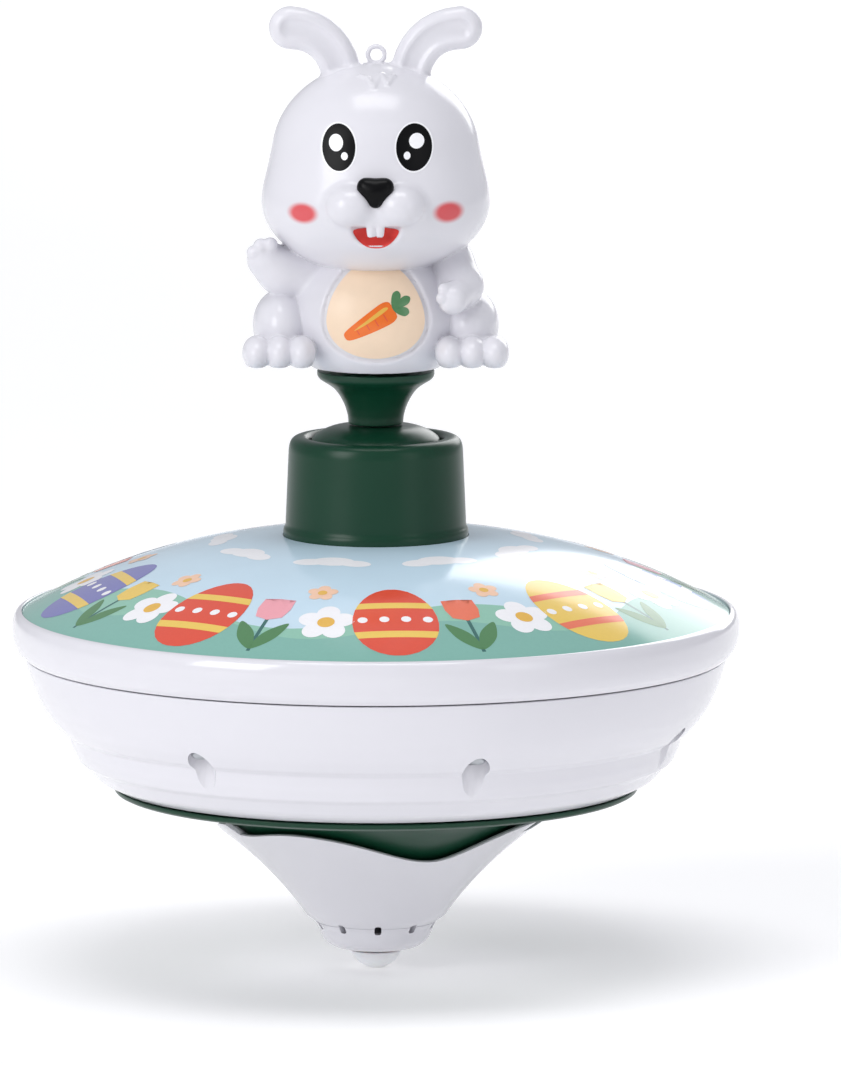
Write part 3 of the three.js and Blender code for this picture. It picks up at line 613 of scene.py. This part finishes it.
def printed(name, shapes, lay, body, step=1.5):
    """Lays inked shapes on a surface. A shape is (ink, layer, outline); lay turns plan points and
    a layer's height into places in space and the surface's normals there."""
    inks = sorted({shape[0] for shape in shapes})
    points, normals, faces, colours = [], [], [], []
    offset = 0
    for colour, layer, outline in shapes:
        flat, cells = filled(np.asarray(outline), step)
        places, directions = lay(flat, layer * PRINT_LAYER)
        points.append(places)
        normals.append(directions)
        faces += [[offset + corner for corner in cell] for cell in cells]
        colours += [inks.index(colour)] * len(cells)
        offset += len(flat)
    mesh = bpy.data.meshes.new(name)
    mesh.from_pydata((np.concatenate(points) * MM).tolist(), [], faces)
    for colour in inks:
        mesh.materials.append(PRINTS[colour])
    mesh.polygons.foreach_set("material_index", colours)
    face_surface_outward(mesh, np.concatenate(normals))
    obj = bpy.data.objects.new(name, mesh)
    bpy.context.scene.collection.objects.link(obj)
    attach(obj, body)
    return obj


PRINTS = {name: ink(name) for name in INKS}


# ------------------------------------------------------------------ the picture: a plain border
# Motifs are drawn in millimetres with x along the rim and y towards the axis.

EGG_TALL, EGG_HALF_WIDTH = 21.0, 7.6
EGG_INKS = [("purple", "yellow"), ("red", "yellow"), ("yellow", "coral"), ("blue", "white")]
EGG_BANDS = ((0.24, 0.33), (0.67, 0.76))    # low and high edges, as shares of an egg's height
EGG_TIP = 0.05          # cut off at both ends, where an egg has no width
TULIP_INKS = ["coral", "yellow", "pink"]
PETALS = 5
GROUPS = 9              # times that the border repeats round the label
FIRST_EGG = 4           # its azimuth in degrees
EGG_RADIUS = LABEL_RADIUS - 2
TULIP_RADIUS, FLOWER_RADIUS, BLOSSOM_RADIUS, CLOUD_RADIUS = 61, 52, 42, 28
HILL_SWELL = 0.3        # share by which a crest rises and falls
HILL_LENGTH = 20        # degrees of one outline


def egg_width(height):
    """Half the width of an egg at a height; it is narrower towards the top."""
    s = 2 * height / EGG_TALL - 1
    return EGG_HALF_WIDTH * math.sqrt(max(0.0, 1 - s * s)) * (1 - 0.13 * s)


def egg_band(low, high):
    """The part of an egg between two heights, with its points closer together at both."""
    heights = low + (high - low) * (1 - np.cos(np.linspace(0, math.pi, 16))) / 2
    right = [(egg_width(height), height) for height in heights]
    left = [(-x, height) for x, height in right[::-1]]
    return np.array(right + left)


def banded_egg(shell, band):
    """A plain egg with two bands and a row of dots between them."""
    middle = 0.5 * EGG_TALL
    shapes = [(shell, 3, egg_band(EGG_TIP, EGG_TALL - EGG_TIP))]
    for low, high in EGG_BANDS:
        shapes.append((band, 4, egg_band(low * EGG_TALL, high * EGG_TALL)))
    half = egg_width(middle) * 0.76
    for x in np.linspace(-half, half, 4):
        shapes.append(("white", 4, ellipse(x, middle, 0.9, 0.9, count=16)))
    return shapes


def leaf(x, y, length, width, tilt):
    """A pointed leaf growing from (x, y) at a tilt in degrees."""
    outline = smooth([
        (0, 0), (0.25 * length, 0.42 * width), (0.6 * length, 0.5 * width), (length, 0),
        (0.6 * length, -0.5 * width), (0.25 * length, -0.42 * width),
    ])
    return ("leaf", 3, moved(outline, x, y, tilt=tilt))


def stroke(points, width):
    """A line of even width through points, as an outline."""
    points = np.asarray(points, float)
    ahead = np.gradient(points, axis=0)
    across = np.stack([-ahead[:, 1], ahead[:, 0]], 1) / np.hypot(*ahead.T)[:, None] * width / 2
    return np.concatenate([points + across, (points - across)[::-1]])


def tulip(colour):
    """A tulip on a straight stem between two leaves."""
    cup = np.array([
        (-2.5, 10.0), (0, 9.0), (2.5, 10.0), (3.1, 12.6), (2.9, 15.8), (1.4, 13.8), (0, 16.0),
        (-1.4, 13.8), (-2.9, 15.8), (-3.1, 12.6),
    ])
    stem = stroke([(0, 0), (0, 10)], 0.7)
    return [("stem", 2, stem), leaf(0, 0.6, 9, 2.8, 60), leaf(0, 0.6, 9, 2.8, 120), (colour, 4, cup)]


def flower(colour, reach):
    """Five round petals about a gold centre."""
    shapes = []
    for index in range(PETALS):
        angle = math.radians(90 + index * 360 / PETALS)
        x, y = 0.55 * reach * math.cos(angle), 0.55 * reach * math.sin(angle)
        petal = ellipse(x, y, 0.45 * reach, 0.4 * reach, math.degrees(angle))
        shapes.append((colour, 3 + 0.2 * index, petal))
    return shapes + [("gold", 5, ellipse(0, 0, 0.3 * reach, 0.3 * reach))]


def placed(motif, azimuth, radius, lift=0):
    """Puts a motif on the picture: its origin at a radius and azimuth, its y axis to the centre."""
    x, y = on_axis(radius, azimuth)[:2]
    result = []
    for colour, layer, outline in motif:
        turned_outline = clipped(moved(outline, x, y, tilt=azimuth), LABEL_RADIUS)
        if turned_outline is not None:
            result.append((colour, layer + lift, turned_outline))
    return result


def hills(colour, layer, height, count):
    """Rolling ground along the whole edge, in lengths short enough to stay simple outlines."""
    shapes = []
    for first in range(0, 360, HILL_LENGTH):
        azimuths = np.linspace(first, first + HILL_LENGTH, 11)
        crest = []
        for azimuth in azimuths:
            swell = height * (1 + HILL_SWELL * math.sin(math.radians(azimuth * count)))
            crest.append(on_axis(LABEL_RADIUS - swell, azimuth)[:2])
        edge = [on_axis(LABEL_RADIUS, azimuth)[:2] for azimuth in azimuths[::-1]]
        shapes.append((colour, layer, np.array(crest + edge)))
    return shapes


def cloud():
    """Three puffs side by side."""
    puffs = [(-4, 0, 3.2, 1.8), (0, 0.6, 4.0, 2.4), (4.2, 0, 3.0, 1.7)]
    return [("white", 1 + 0.3 * index, ellipse(*puff)) for index, puff in enumerate(puffs)]


def picture_shapes():
    """Hills all round, then one egg, tulip, flowers and cloud in each group of the border."""
    shapes = hills("pale_hill", 1, 13.0, 5) + hills("hill", 1.6, 9.0, 7)
    group = 360 / GROUPS
    for index in range(GROUPS):
        azimuth = FIRST_EGG + index * group
        shell, band = EGG_INKS[(index + 1) % len(EGG_INKS)]
        cup = TULIP_INKS[index % len(TULIP_INKS)]
        shapes += placed(banded_egg(shell, band), azimuth, EGG_RADIUS, lift=1)
        shapes += placed(tulip(cup), azimuth + 0.36 * group, TULIP_RADIUS)
        shapes += placed(flower("white", 5.2), azimuth + 0.66 * group, FLOWER_RADIUS)
        shapes += placed(flower("peach", 2.8), azimuth + 0.58 * group, BLOSSOM_RADIUS)
        shapes += placed(cloud(), azimuth + 0.5 * group, CLOUD_RADIUS)
    return shapes


def lay_on_dome(flat, height):
    """Places and normals on the dome for plan points, raised by a height."""
    radius = np.hypot(flat[:, 0], flat[:, 1])
    steepness = DOME_SLOPE + 2 * DOME_CURVE * (radius - COLLAR_RADIUS)
    outward = flat * (steepness / radius)[:, None]
    normals = np.column_stack([outward, np.ones(len(flat))])
    normals /= np.linalg.norm(normals, axis=1)[:, None]
    return np.column_stack([flat, dome_height(radius) + height]), normals


def make_picture():
    """A clear sky-blue film with the artwork printed on it."""
    inner = COLLAR_RADIUS + 0.1
    outline = dome_line(inner, LABEL_RADIUS, FILM) + dome_line(inner, LABEL_RADIUS, 0.0)[::-1]
    piece("picture_film", *turned(outline), MATERIALS["picture"], "top_body", ["picture_label"], "picture")
    printed("picture_artwork", picture_shapes(), lay_on_dome, "top_body")


# ------------------------------------------------------------------ the rabbit, as a distance field

def ball(p, centre, radii):
    """Approximate distance to an ellipsoid."""
    radii = np.array(radii, np.float32)
    q = (p - np.array(centre, np.float32)) / radii
    near = np.sqrt((q * q).sum(-1))
    steep = np.sqrt(((q / radii) ** 2).sum(-1))
    return near * (near - 1) / np.maximum(steep, 1e-6)


def limb(p, start, end, start_radius, end_radius):
    """Distance to a tapered rod with round ends."""
    a, b = np.array(start, np.float32), np.array(end, np.float32)
    share = np.clip(((p - a) @ (b - a)) / ((b - a) @ (b - a)), 0, 1)
    away = p - a - share[..., None] * (b - a)
    return np.sqrt((away * away).sum(-1)) - (start_radius + (end_radius - start_radius) * share)


def join(a, b, soft):
    """Union of two fields with a soft fillet."""
    h = np.maximum(soft - np.abs(a - b), 0) / soft
    return np.minimum(a, b) - h * h * soft / 4


def cut(a, b, soft):
    """Field a with b taken away, with a softened edge."""
    return -join(-a, b, soft)


CRANIUM_CENTRE, CRANIUM_RADII = (0, -0.3, 147.0), (18.6, 17.2, 16.5)
BADGE_CENTRE = 119.4
POCKET_DEPTH = 0.5      # of the badge's pocket below the belly
PLATE_DEPTH = 0.1       # of the plate's face below the belly
PLATE_THICKNESS = 0.3
PLATE_INSET = 0.1       # from the badge's outline in to the edge of its plate
POCKET_MARGIN = 0.35    # and out to the wall of its pocket
EAR_FOOT = 152.5        # below this height the ears are out of reach
SOLE = FIGURE_BASE + 1.8
RABBIT_CELL = 0.38      # lattice spacing of the figure's mesh


def badge_field(x, z):
    """Distance in the front view to the badge's egg outline."""
    rise = z - BADGE_CENTRE
    wide = 8.9 * (1 - 0.012 * rise)
    near = np.sqrt((x / wide) ** 2 + (rise / np.where(rise > 0, 9.8, 7.6)) ** 2)
    return (near - 1) * 8.0


def head_field(p):
    """Cranium, cheeks and two muzzle pads, with an open mouth under them."""
    cranium = ball(p, CRANIUM_CENTRE, CRANIUM_RADII)
    cheeks = ball(p, (0, -0.8, 139.0), (20.4, 19.9, 13.3))
    head = join(cranium, cheeks, 3.4)
    for side in (-1, 1):
        head = join(head, ball(p, (side * 4.4, -17.8, 139.9), (4.7, 5.0, 4.1)), 0.9)
    mouth = ball(p, (0.1, -20.6, 135.4), (4.6, 4.0, 3.4))
    return cut(head, np.maximum(mouth, p[..., 2] - 136.4), 0.5)


def teeth_field(p):
    """Two square front teeth that hang below the lip."""
    left = ball(p, (-0.8, -19.5, 136.6), (0.86, 0.9, 3.0))
    right = ball(p, (0.8, -19.5, 136.6), (0.86, 0.9, 3.0))
    return np.maximum(np.minimum(left, right), 134.5 - p[..., 2])


def tuft_field(p):
    """A zigzag lock of hair in relief at the top of the forehead."""
    corners = [(-2.7, 161.9), (-1.4, 161.7), (-0.3, 160.2), (1.0, 162.3), (2.1, 160.7), (3.2, 161.9)]
    across, deep, tall = CRANIUM_RADII
    places = []
    for x, z in corners:
        depth = math.sqrt(1 - (x / across) ** 2 - ((z - CRANIUM_CENTRE[2]) / tall) ** 2)
        places.append((x, CRANIUM_CENTRE[1] - deep * depth, z))
    return np.minimum.reduce([limb(p, start, end, 0.42, 0.42) for start, end in zip(places, places[1:])])


def ear_field(p, side):
    """A flat paddle that leans out along a curve, with a channel down its front."""
    flat = p * np.array([side, 1.6, 1], np.float32)
    root, bend, end = np.array([5.6, 0, 158.0]), np.array([6.2, 0, 169.3]), np.array([15.2, 0, 169.8])
    shares = np.linspace(0, 1, 10)
    line = [(1 - t) ** 2 * root + 2 * t * (1 - t) * bend + t * t * end for t in shares]
    radii = 3.45 + 0.4 * shares
    paddle, channel = [], []
    for index in range(len(line) - 1):
        here, there = line[index:index + 2]
        paddle.append(limb(flat, here, there, radii[index], radii[index + 1]))
        channel.append(limb(flat, here - (0, 4, 0), there - (0, 4, 0), 2.1, 2.1))
    return cut(np.minimum.reduce(paddle), np.minimum.reduce(channel), 0.5) * 0.8


def ears_field(p):
    """Both ears; well below them the distance is only given as large."""
    field = np.full(p.shape[:-1], 9.0, np.float32)
    near = p[..., 2] > EAR_FOOT
    if near.any():
        close = p[near]
        field[near] = np.minimum(ear_field(close, -1), ear_field(close, 1))
    return field


def arm_fields(p):
    """One arm raised with an open paw, and one resting on the belly."""
    raised = limb(p, (-11.5, -1.5, 124.8), (-17.0, -3.0, 126.4), 4.3, 4.0)
    raised = join(raised, limb(p, (-17.0, -3.0, 126.4), (-19.5, -4.0, 128.6), 3.9, 3.5), 1.5)
    for x, y, z in ((-21.7, -5.6, 130.0), (-20.5, -6.2, 131.3), (-18.8, -6.2, 131.5)):
        raised = join(raised, ball(p, (x, y, z), (1.35, 1.5, 1.35)), 0.4)
    resting = limb(p, (13.6, -2.5, 128.0), (15.4, -7.0, 124.2), 4.0, 3.7)
    resting = join(resting, limb(p, (15.4, -7.0, 124.2), (13.8, -12.6, 122.5), 3.5, 2.7), 1.2)
    for tip, knuckle in (
        ((12.2, -13.4, 124.4), (14.4, -11.6, 124.6)), ((11.9, -14.0, 122.9), (14.4, -12.2, 122.9)),
        ((12.8, -13.9, 121.5), (14.8, -12.0, 121.6)),
    ):
        resting = join(resting, limb(p, tip, knuckle, 1.15, 1.3), 0.25)
    return np.minimum(raised, resting)


def leg_field(p, side):
    """A thigh, and a foot with three toes and a flat sole."""
    q = p * np.array([side, 1, 1], np.float32)
    leg = ball(q, (16.8, -1.8, 116.6), (5.2, 8.4, 6.4))
    leg = join(leg, ball(q, (17.1, -7.6, 112.8), (5.8, 5.6, 2.7)), 0.8)
    for shift in (-4.0, 0.0, 4.0):
        leg = join(leg, ball(q, (17.2 + shift, -10.8, 112.7), (2.6, 4.6, 3.1)), 0.5)
    return np.maximum(leg, SOLE - p[..., 2])


def loop_field(p):
    """The small hanging ring on top of the head."""
    x, y, z = p[..., 0] - 0.1, p[..., 1] - 0.6, p[..., 2] - 164.9
    return np.sqrt((np.sqrt(x * x + z * z) - 1.5) ** 2 + y * y) - 0.42


def torso_field(p):
    return ball(p, (0, 0.2, 118.0), (15.6, 15.2, 13.4))


def rabbit_field(p):
    """The outside of the whole figure."""
    x, z = p[..., 0], p[..., 2]
    torso = torso_field(p)
    belly = np.maximum(torso, FIGURE_BASE + 0.4 - z)
    front = np.maximum(badge_field(x, z) - POCKET_MARGIN, p[..., 1] + 5)
    pocket = np.maximum(front, -(torso + POCKET_DEPTH))
    torso = cut(belly, pocket, 0.9)
    body = join(torso, arm_fields(p), 0.7)
    body = join(body, np.minimum(leg_field(p, -1), leg_field(p, 1)), 0.5)
    head = head_field(p)
    head = join(head, ears_field(p), 1.0)
    head = join(join(head, tuft_field(p), 0.3), teeth_field(p), 0.15)
    head = np.minimum(head, loop_field(p))
    return join(head, body, 0.5)


def cavity_field(p):
    """The hollow inside the figure, open at the neck."""
    head_room = ball(p, (0, 0.3, 143), (17.2, 15.2, 14.2))
    body_room = ball(p, (0, 0.8, 117.5), (12.2, 11.2, 8.4))
    neck_hole = np.maximum(np.hypot(p[..., 0], p[..., 1]) - 6.2, p[..., 2] - 124)
    return np.minimum(np.minimum(head_room, body_room), neck_hole)


def shell_field(p):
    return np.maximum(rabbit_field(p), -cavity_field(p))


def rise(field, points, step):
    """How much a field changes over twice a step along each axis."""
    units = step * np.eye(3, dtype=np.float32)
    return np.stack([field(points + unit) - field(points - unit) for unit in units], -1)


def meshed(field, low, high, cell):
    """Points and faces where a field crosses zero, pulled exactly on to the surface."""
    axes = [np.arange(a, b, cell, dtype=np.float32) for a, b in zip(low, high)]
    lattice = np.stack(np.meshgrid(*axes, indexing="ij"), -1)
    values = np.concatenate([field(slab) for slab in np.array_split(lattice, 12)])
    grid = openvdb.FloatGrid(background=10.0)
    grid.copyFromArray(values)
    points, triangles, quads = grid.convertToPolygons(isovalue=0.0, adaptivity=0.0)
    points = (points * cell + np.array(low)).astype(np.float32)
    for _ in range(3):
        step = np.float32(0.04)
        slope = rise(field, points, step) / (2 * step)
        value = field(points)
        move = value / np.maximum((slope * slope).sum(-1), 0.25)
        points = points - np.clip(move, -cell / 2, cell / 2)[:, None] * slope
    return points, quads.tolist() + triangles.tolist()


def split(points, faces, side):
    """Half of a closed mesh on one side of the figure's parting line, with its wall closed."""
    work = bmesh.new()
    corners = [work.verts.new(point) for point in points]
    for face in faces:
        work.faces.new([corners[i] for i in face])
    everything = work.verts[:] + work.edges[:] + work.faces[:]
    cut_at = Vector((0, side * 0.06, 0))
    result = bmesh.ops.bisect_plane(
        work, geom=everything, dist=1e-5, plane_co=cut_at, plane_no=Vector((0, side, 0)), clear_inner=True)
    rims = [item for item in result["geom_cut"] if isinstance(item, bmesh.types.BMEdge)]
    bmesh.ops.triangle_fill(work, use_beauty=True, edges=rims)
    work.verts.index_update()
    corners = [tuple(vertex.co) for vertex in work.verts]
    cells = [[vertex.index for vertex in face.verts] for face in work.faces]
    work.free()
    return corners, cells


def lay_on_front(field, start=-27.0):
    """Returns a lay function that drops front-view points (x, z) back on to a field's surface."""
    def lay(flat, height):
        places = np.column_stack([flat[:, 0], np.full(len(flat), start), flat[:, 1]]).astype(np.float32)
        for _ in range(60):
            places[:, 1] += field(places) * 0.7
        slope = rise(field, places, np.float32(0.05))
        normals = slope / np.linalg.norm(slope, axis=1)[:, None]
        return places + normals * (height + 0.02), normals
    return lay


def face_shapes():
    """Eyes and mouth in the front view."""
    shapes = []
    for x, half_width in ((-6.5, 2.95), (6.85, 3.2)):
        shapes.append(("white", 1, ellipse(x, 150.2, half_width + 0.28, 4.4, count=40)))
        shapes.append(("ink_gloss", 2, ellipse(x, 150.2, half_width, 4.1, count=40)))
    for x, z, half_width, half_height in (
        (-7.0, 151.0, 1.25, 1.5), (-5.5, 148.7, 0.6, 0.7), (7.3, 151.3, 1.35, 1.35), (5.6, 148.8, 0.6, 0.7),
    ):
        shapes.append(("white", 3, ellipse(x, z, half_width, half_height)))
    mouth = smooth([
        (-4.0, 135.6), (-2.2, 135.9), (0.1, 136.0), (2.4, 135.9), (4.2, 135.6), (3.4, 133.9),
        (1.8, 132.7), (0.1, 132.4), (-1.6, 132.7), (-3.2, 133.9),
    ])
    shapes.append(("mouth", 5, mouth))
    return shapes


def make_rabbit():
    """The figure in two halves, with its printed face, nose and badge."""
    blush(rabbit_white, ((-13.1, 138.4, 2.9, 2.0), (13.2, 138.6, 3.0, 2.05)), rgb("dd5a5f"))
    points, faces = meshed(shell_field, (-26, -26, FIGURE_BASE - 1), (26, 20, 175.5), RABBIT_CELL)
    for side, name, node in (
        (-1, "rabbit_front", "rabbit_front_shell"), (1, "rabbit_back", "rabbit_rear_shell"),
    ):
        half = piece(name, *split(points, faces, side), rabbit_white, "handle", [node], "white")
        shade(half, 50)
    PRINTS["ink_gloss"] = finish("eye_gloss", rgb("0b0b0d"), 0.3, 0.1, 300, Specular_IOR_Level=0.12)
    PRINTS["mouth"] = finish("mouth_red", rgb("e2433c"), 0.55, 0.08, 1500, 0.2)
    printed("rabbit_face", face_shapes(), lay_on_front(head_field), "handle", 0.5)
    make_nose()
    make_badge()


def nose_field(p):
    """A rounded triangle that stands out from the muzzle."""
    field = None
    for (x, z, r), (x2, z2, r2) in (
        ((-1.75, 143.7, 1.35), (1.75, 143.7, 1.35)), ((-1.5, 143.5, 1.4), (0, 141.4, 1.25)),
        ((1.5, 143.5, 1.4), (0, 141.4, 1.25)),
    ):
        part = limb(p, (x, -20.2, z), (x2, -20.6, z2), r, r2)
        field = part if field is None else join(field, part, 1.2)
    return np.maximum(join(field, ball(p, (0, -20.2, 142.9), (2.6, 2.2, 1.9)), 0.8), p[..., 1] + 18.6)


def make_nose():
    nose = piece("rabbit_nose", *meshed(nose_field, (-5, -25, 138), (5, -17.5, 148), 0.2),
                 PRINTS["ink_gloss"], "handle")
    shade(nose, 60)


def carrot_shapes():
    """A carrot lying aslant, with creases, a lighter stripe and three leaves."""
    shapes = []
    tip, top = np.array([-5.4, 115.8]), np.array([3.2, 121.0])
    along = (top - tip) / np.linalg.norm(top - tip)
    across = np.array([-along[1], along[0]])
    length = np.linalg.norm(top - tip)

    def curve(side):
        return [tip + along * length * s + across * side * w for s, w in widths]

    widths = [(0.0, 0.45), (0.07, 0.95), (0.3, 1.4), (0.6, 1.8), (0.85, 2.0), (0.97, 1.65), (1.0, 0.9)]
    shapes.append(("orange", 3, smooth(curve(1) + curve(-1)[::-1])))
    stripe = ((0.2, 0.3), (0.5, 0.75), (0.85, 1.1), (0.9, 0.5), (0.5, 0.2))
    shapes.append(("gold", 4, smooth([tip + along * length * s + across * w for s, w in stripe])))
    for s, w in ((0.25, 0.8), (0.45, 1.0), (0.62, 1.2), (0.8, 1.3)):
        base = tip + along * length * s
        crease = [base - across * w, base - across * w * 0.4, base + across * 0.1 * w]
        shapes.append(("red", 5, stroke(crease, 0.16)))
    for tilt, size in ((75, 3.2), (33, 3.6), (-14, 3.0)):
        outline = smooth([
            (0, 0), (0.35 * size, 0.62), (0.8 * size, 0.75), (size, 0), (0.8 * size, -0.75),
            (0.35 * size, -0.62),
        ])
        shapes.append(("leaf", 4, moved(outline, top[0] - 0.1, top[1], tilt=tilt)))
    return shapes


def make_badge():
    """A cream plate in the belly's pocket, printed with a carrot."""
    lay = lay_on_front(torso_field)
    shares = np.linspace(0, 1, 10)
    columns = []
    for angle in np.linspace(0, math.tau, 96, endpoint=False):
        direction = np.array([math.cos(angle), math.sin(angle)])
        reach = 8.0
        for _ in range(12):
            place = direction * reach
            reach -= badge_field(place[0], BADGE_CENTRE + place[1]) + PLATE_INSET
        flat = direction * (reach * shares)[:, None] + (0, BADGE_CENTRE)
        face = lay(flat, -PLATE_DEPTH)[0]
        back = lay(flat[::-1], -PLATE_DEPTH - PLATE_THICKNESS)[0]
        columns.append(np.concatenate([face, back]))
    points, faces = around(columns)
    rows = len(columns[0])
    open_faces = [face for index, face in enumerate(faces) if index % rows != rows - 1]
    piece("belly_plate", points, open_faces, MATERIALS["badge_cream"],
          "handle", ["belly_badge"], "badge_cream")
    printed("carrot_print", carrot_shapes(), lambda flat, height: lay(flat, height - PLATE_DEPTH),
            "handle", 1.0)


# ------------------------------------------------------------------ light and camera

def soft_light(name, place, size, watts):
    """A large rectangular lamp, in metres, that faces the middle of the top."""
    data = bpy.data.lights.new(name, "AREA")
    data.shape = "RECTANGLE"
    data.size, data.size_y = size
    data.energy = watts
    light = bpy.data.objects.new(name, data)
    bpy.context.scene.collection.objects.link(light)
    light.location = place
    target = Vector((0, 0, 0.09))
    light.rotation_euler = (target - Vector(place)).to_track_quat("-Z", "Y").to_euler()


def studio():
    """A pale floor and four soft lamps."""
    world = bpy.data.worlds.new("studio")
    world.use_nodes = True
    world.node_tree.nodes["Background"].inputs["Color"].default_value = (0.93, 0.94, 1.0, 1)
    world.node_tree.nodes["Background"].inputs["Strength"].default_value = 0.46
    bpy.context.scene.world = world
    paper = finish("floor_paper", (0.98, 0.98, 0.98), 0.9, 0.01, 3,
                   Emission_Color=(1, 1, 1, 1), Emission_Strength=0.14)
    half = 6000
    corners = [(-half, -half, 0), (half, -half, 0), (half, half, 0), (-half, half, 0)]
    floor = piece("floor", corners, [(0, 1, 2, 3)], paper, None)
    soft_light("key", (-1.25, -1.15, 0.85), (0.8, 1.1), 13)
    soft_light("fill", (1.3, -1.2, 0.6), (0.6, 1.0), 2.0)
    soft_light("back_right", (0.78, 2.0, 0.9), (1.25, 1.25), 14)
    soft_light("top", (0.0, -0.25, 1.7), (1.0, 0.6), 8.5)


def photo_camera():
    """A long lens a little above the top, looking straight at its front."""
    elevation, distance, pixels_per_metre, long_side = 8.1, 3.0, 5580.0, 1065
    data = bpy.data.cameras.new("camera")
    data.sensor_fit = "AUTO"
    data.sensor_width = 36
    data.lens = pixels_per_metre * distance * data.sensor_width / long_side
    data.clip_end = 100
    camera = bpy.data.objects.new("camera", data)
    bpy.context.scene.collection.objects.link(camera)
    aim = Vector((0.008, 0, 0.0788))
    angle = math.radians(elevation)
    camera.location = aim + distance * Vector((0, -math.cos(angle), math.sin(angle)))
    camera.rotation_euler = (math.pi / 2 - angle, 0, 0)
    bpy.context.scene.camera = camera


def repaint_frame():
    """Gives every node that stays from the frame the finish of its slot."""
    for part in frame["record"]["subparts"]:
        mesh = frame["nodes"][part["node"]].data
        mesh.materials.clear()
        mesh.materials.append(MATERIALS[part["material_slot"]])


def main():
    repaint_frame()
    make_bowl()
    make_cover()
    make_collar()
    make_plunger()
    make_neck()
    make_tray()
    make_cone()
    make_tip()
    for index, node in enumerate(RIM_SCREWS):
        make_screw(f"case_screw_{index + 1}", node)
    make_spring()
    make_picture()
    make_rabbit()
    studio()
    photo_camera()
    bpy.context.scene.view_settings.view_transform = "Standard"


main()
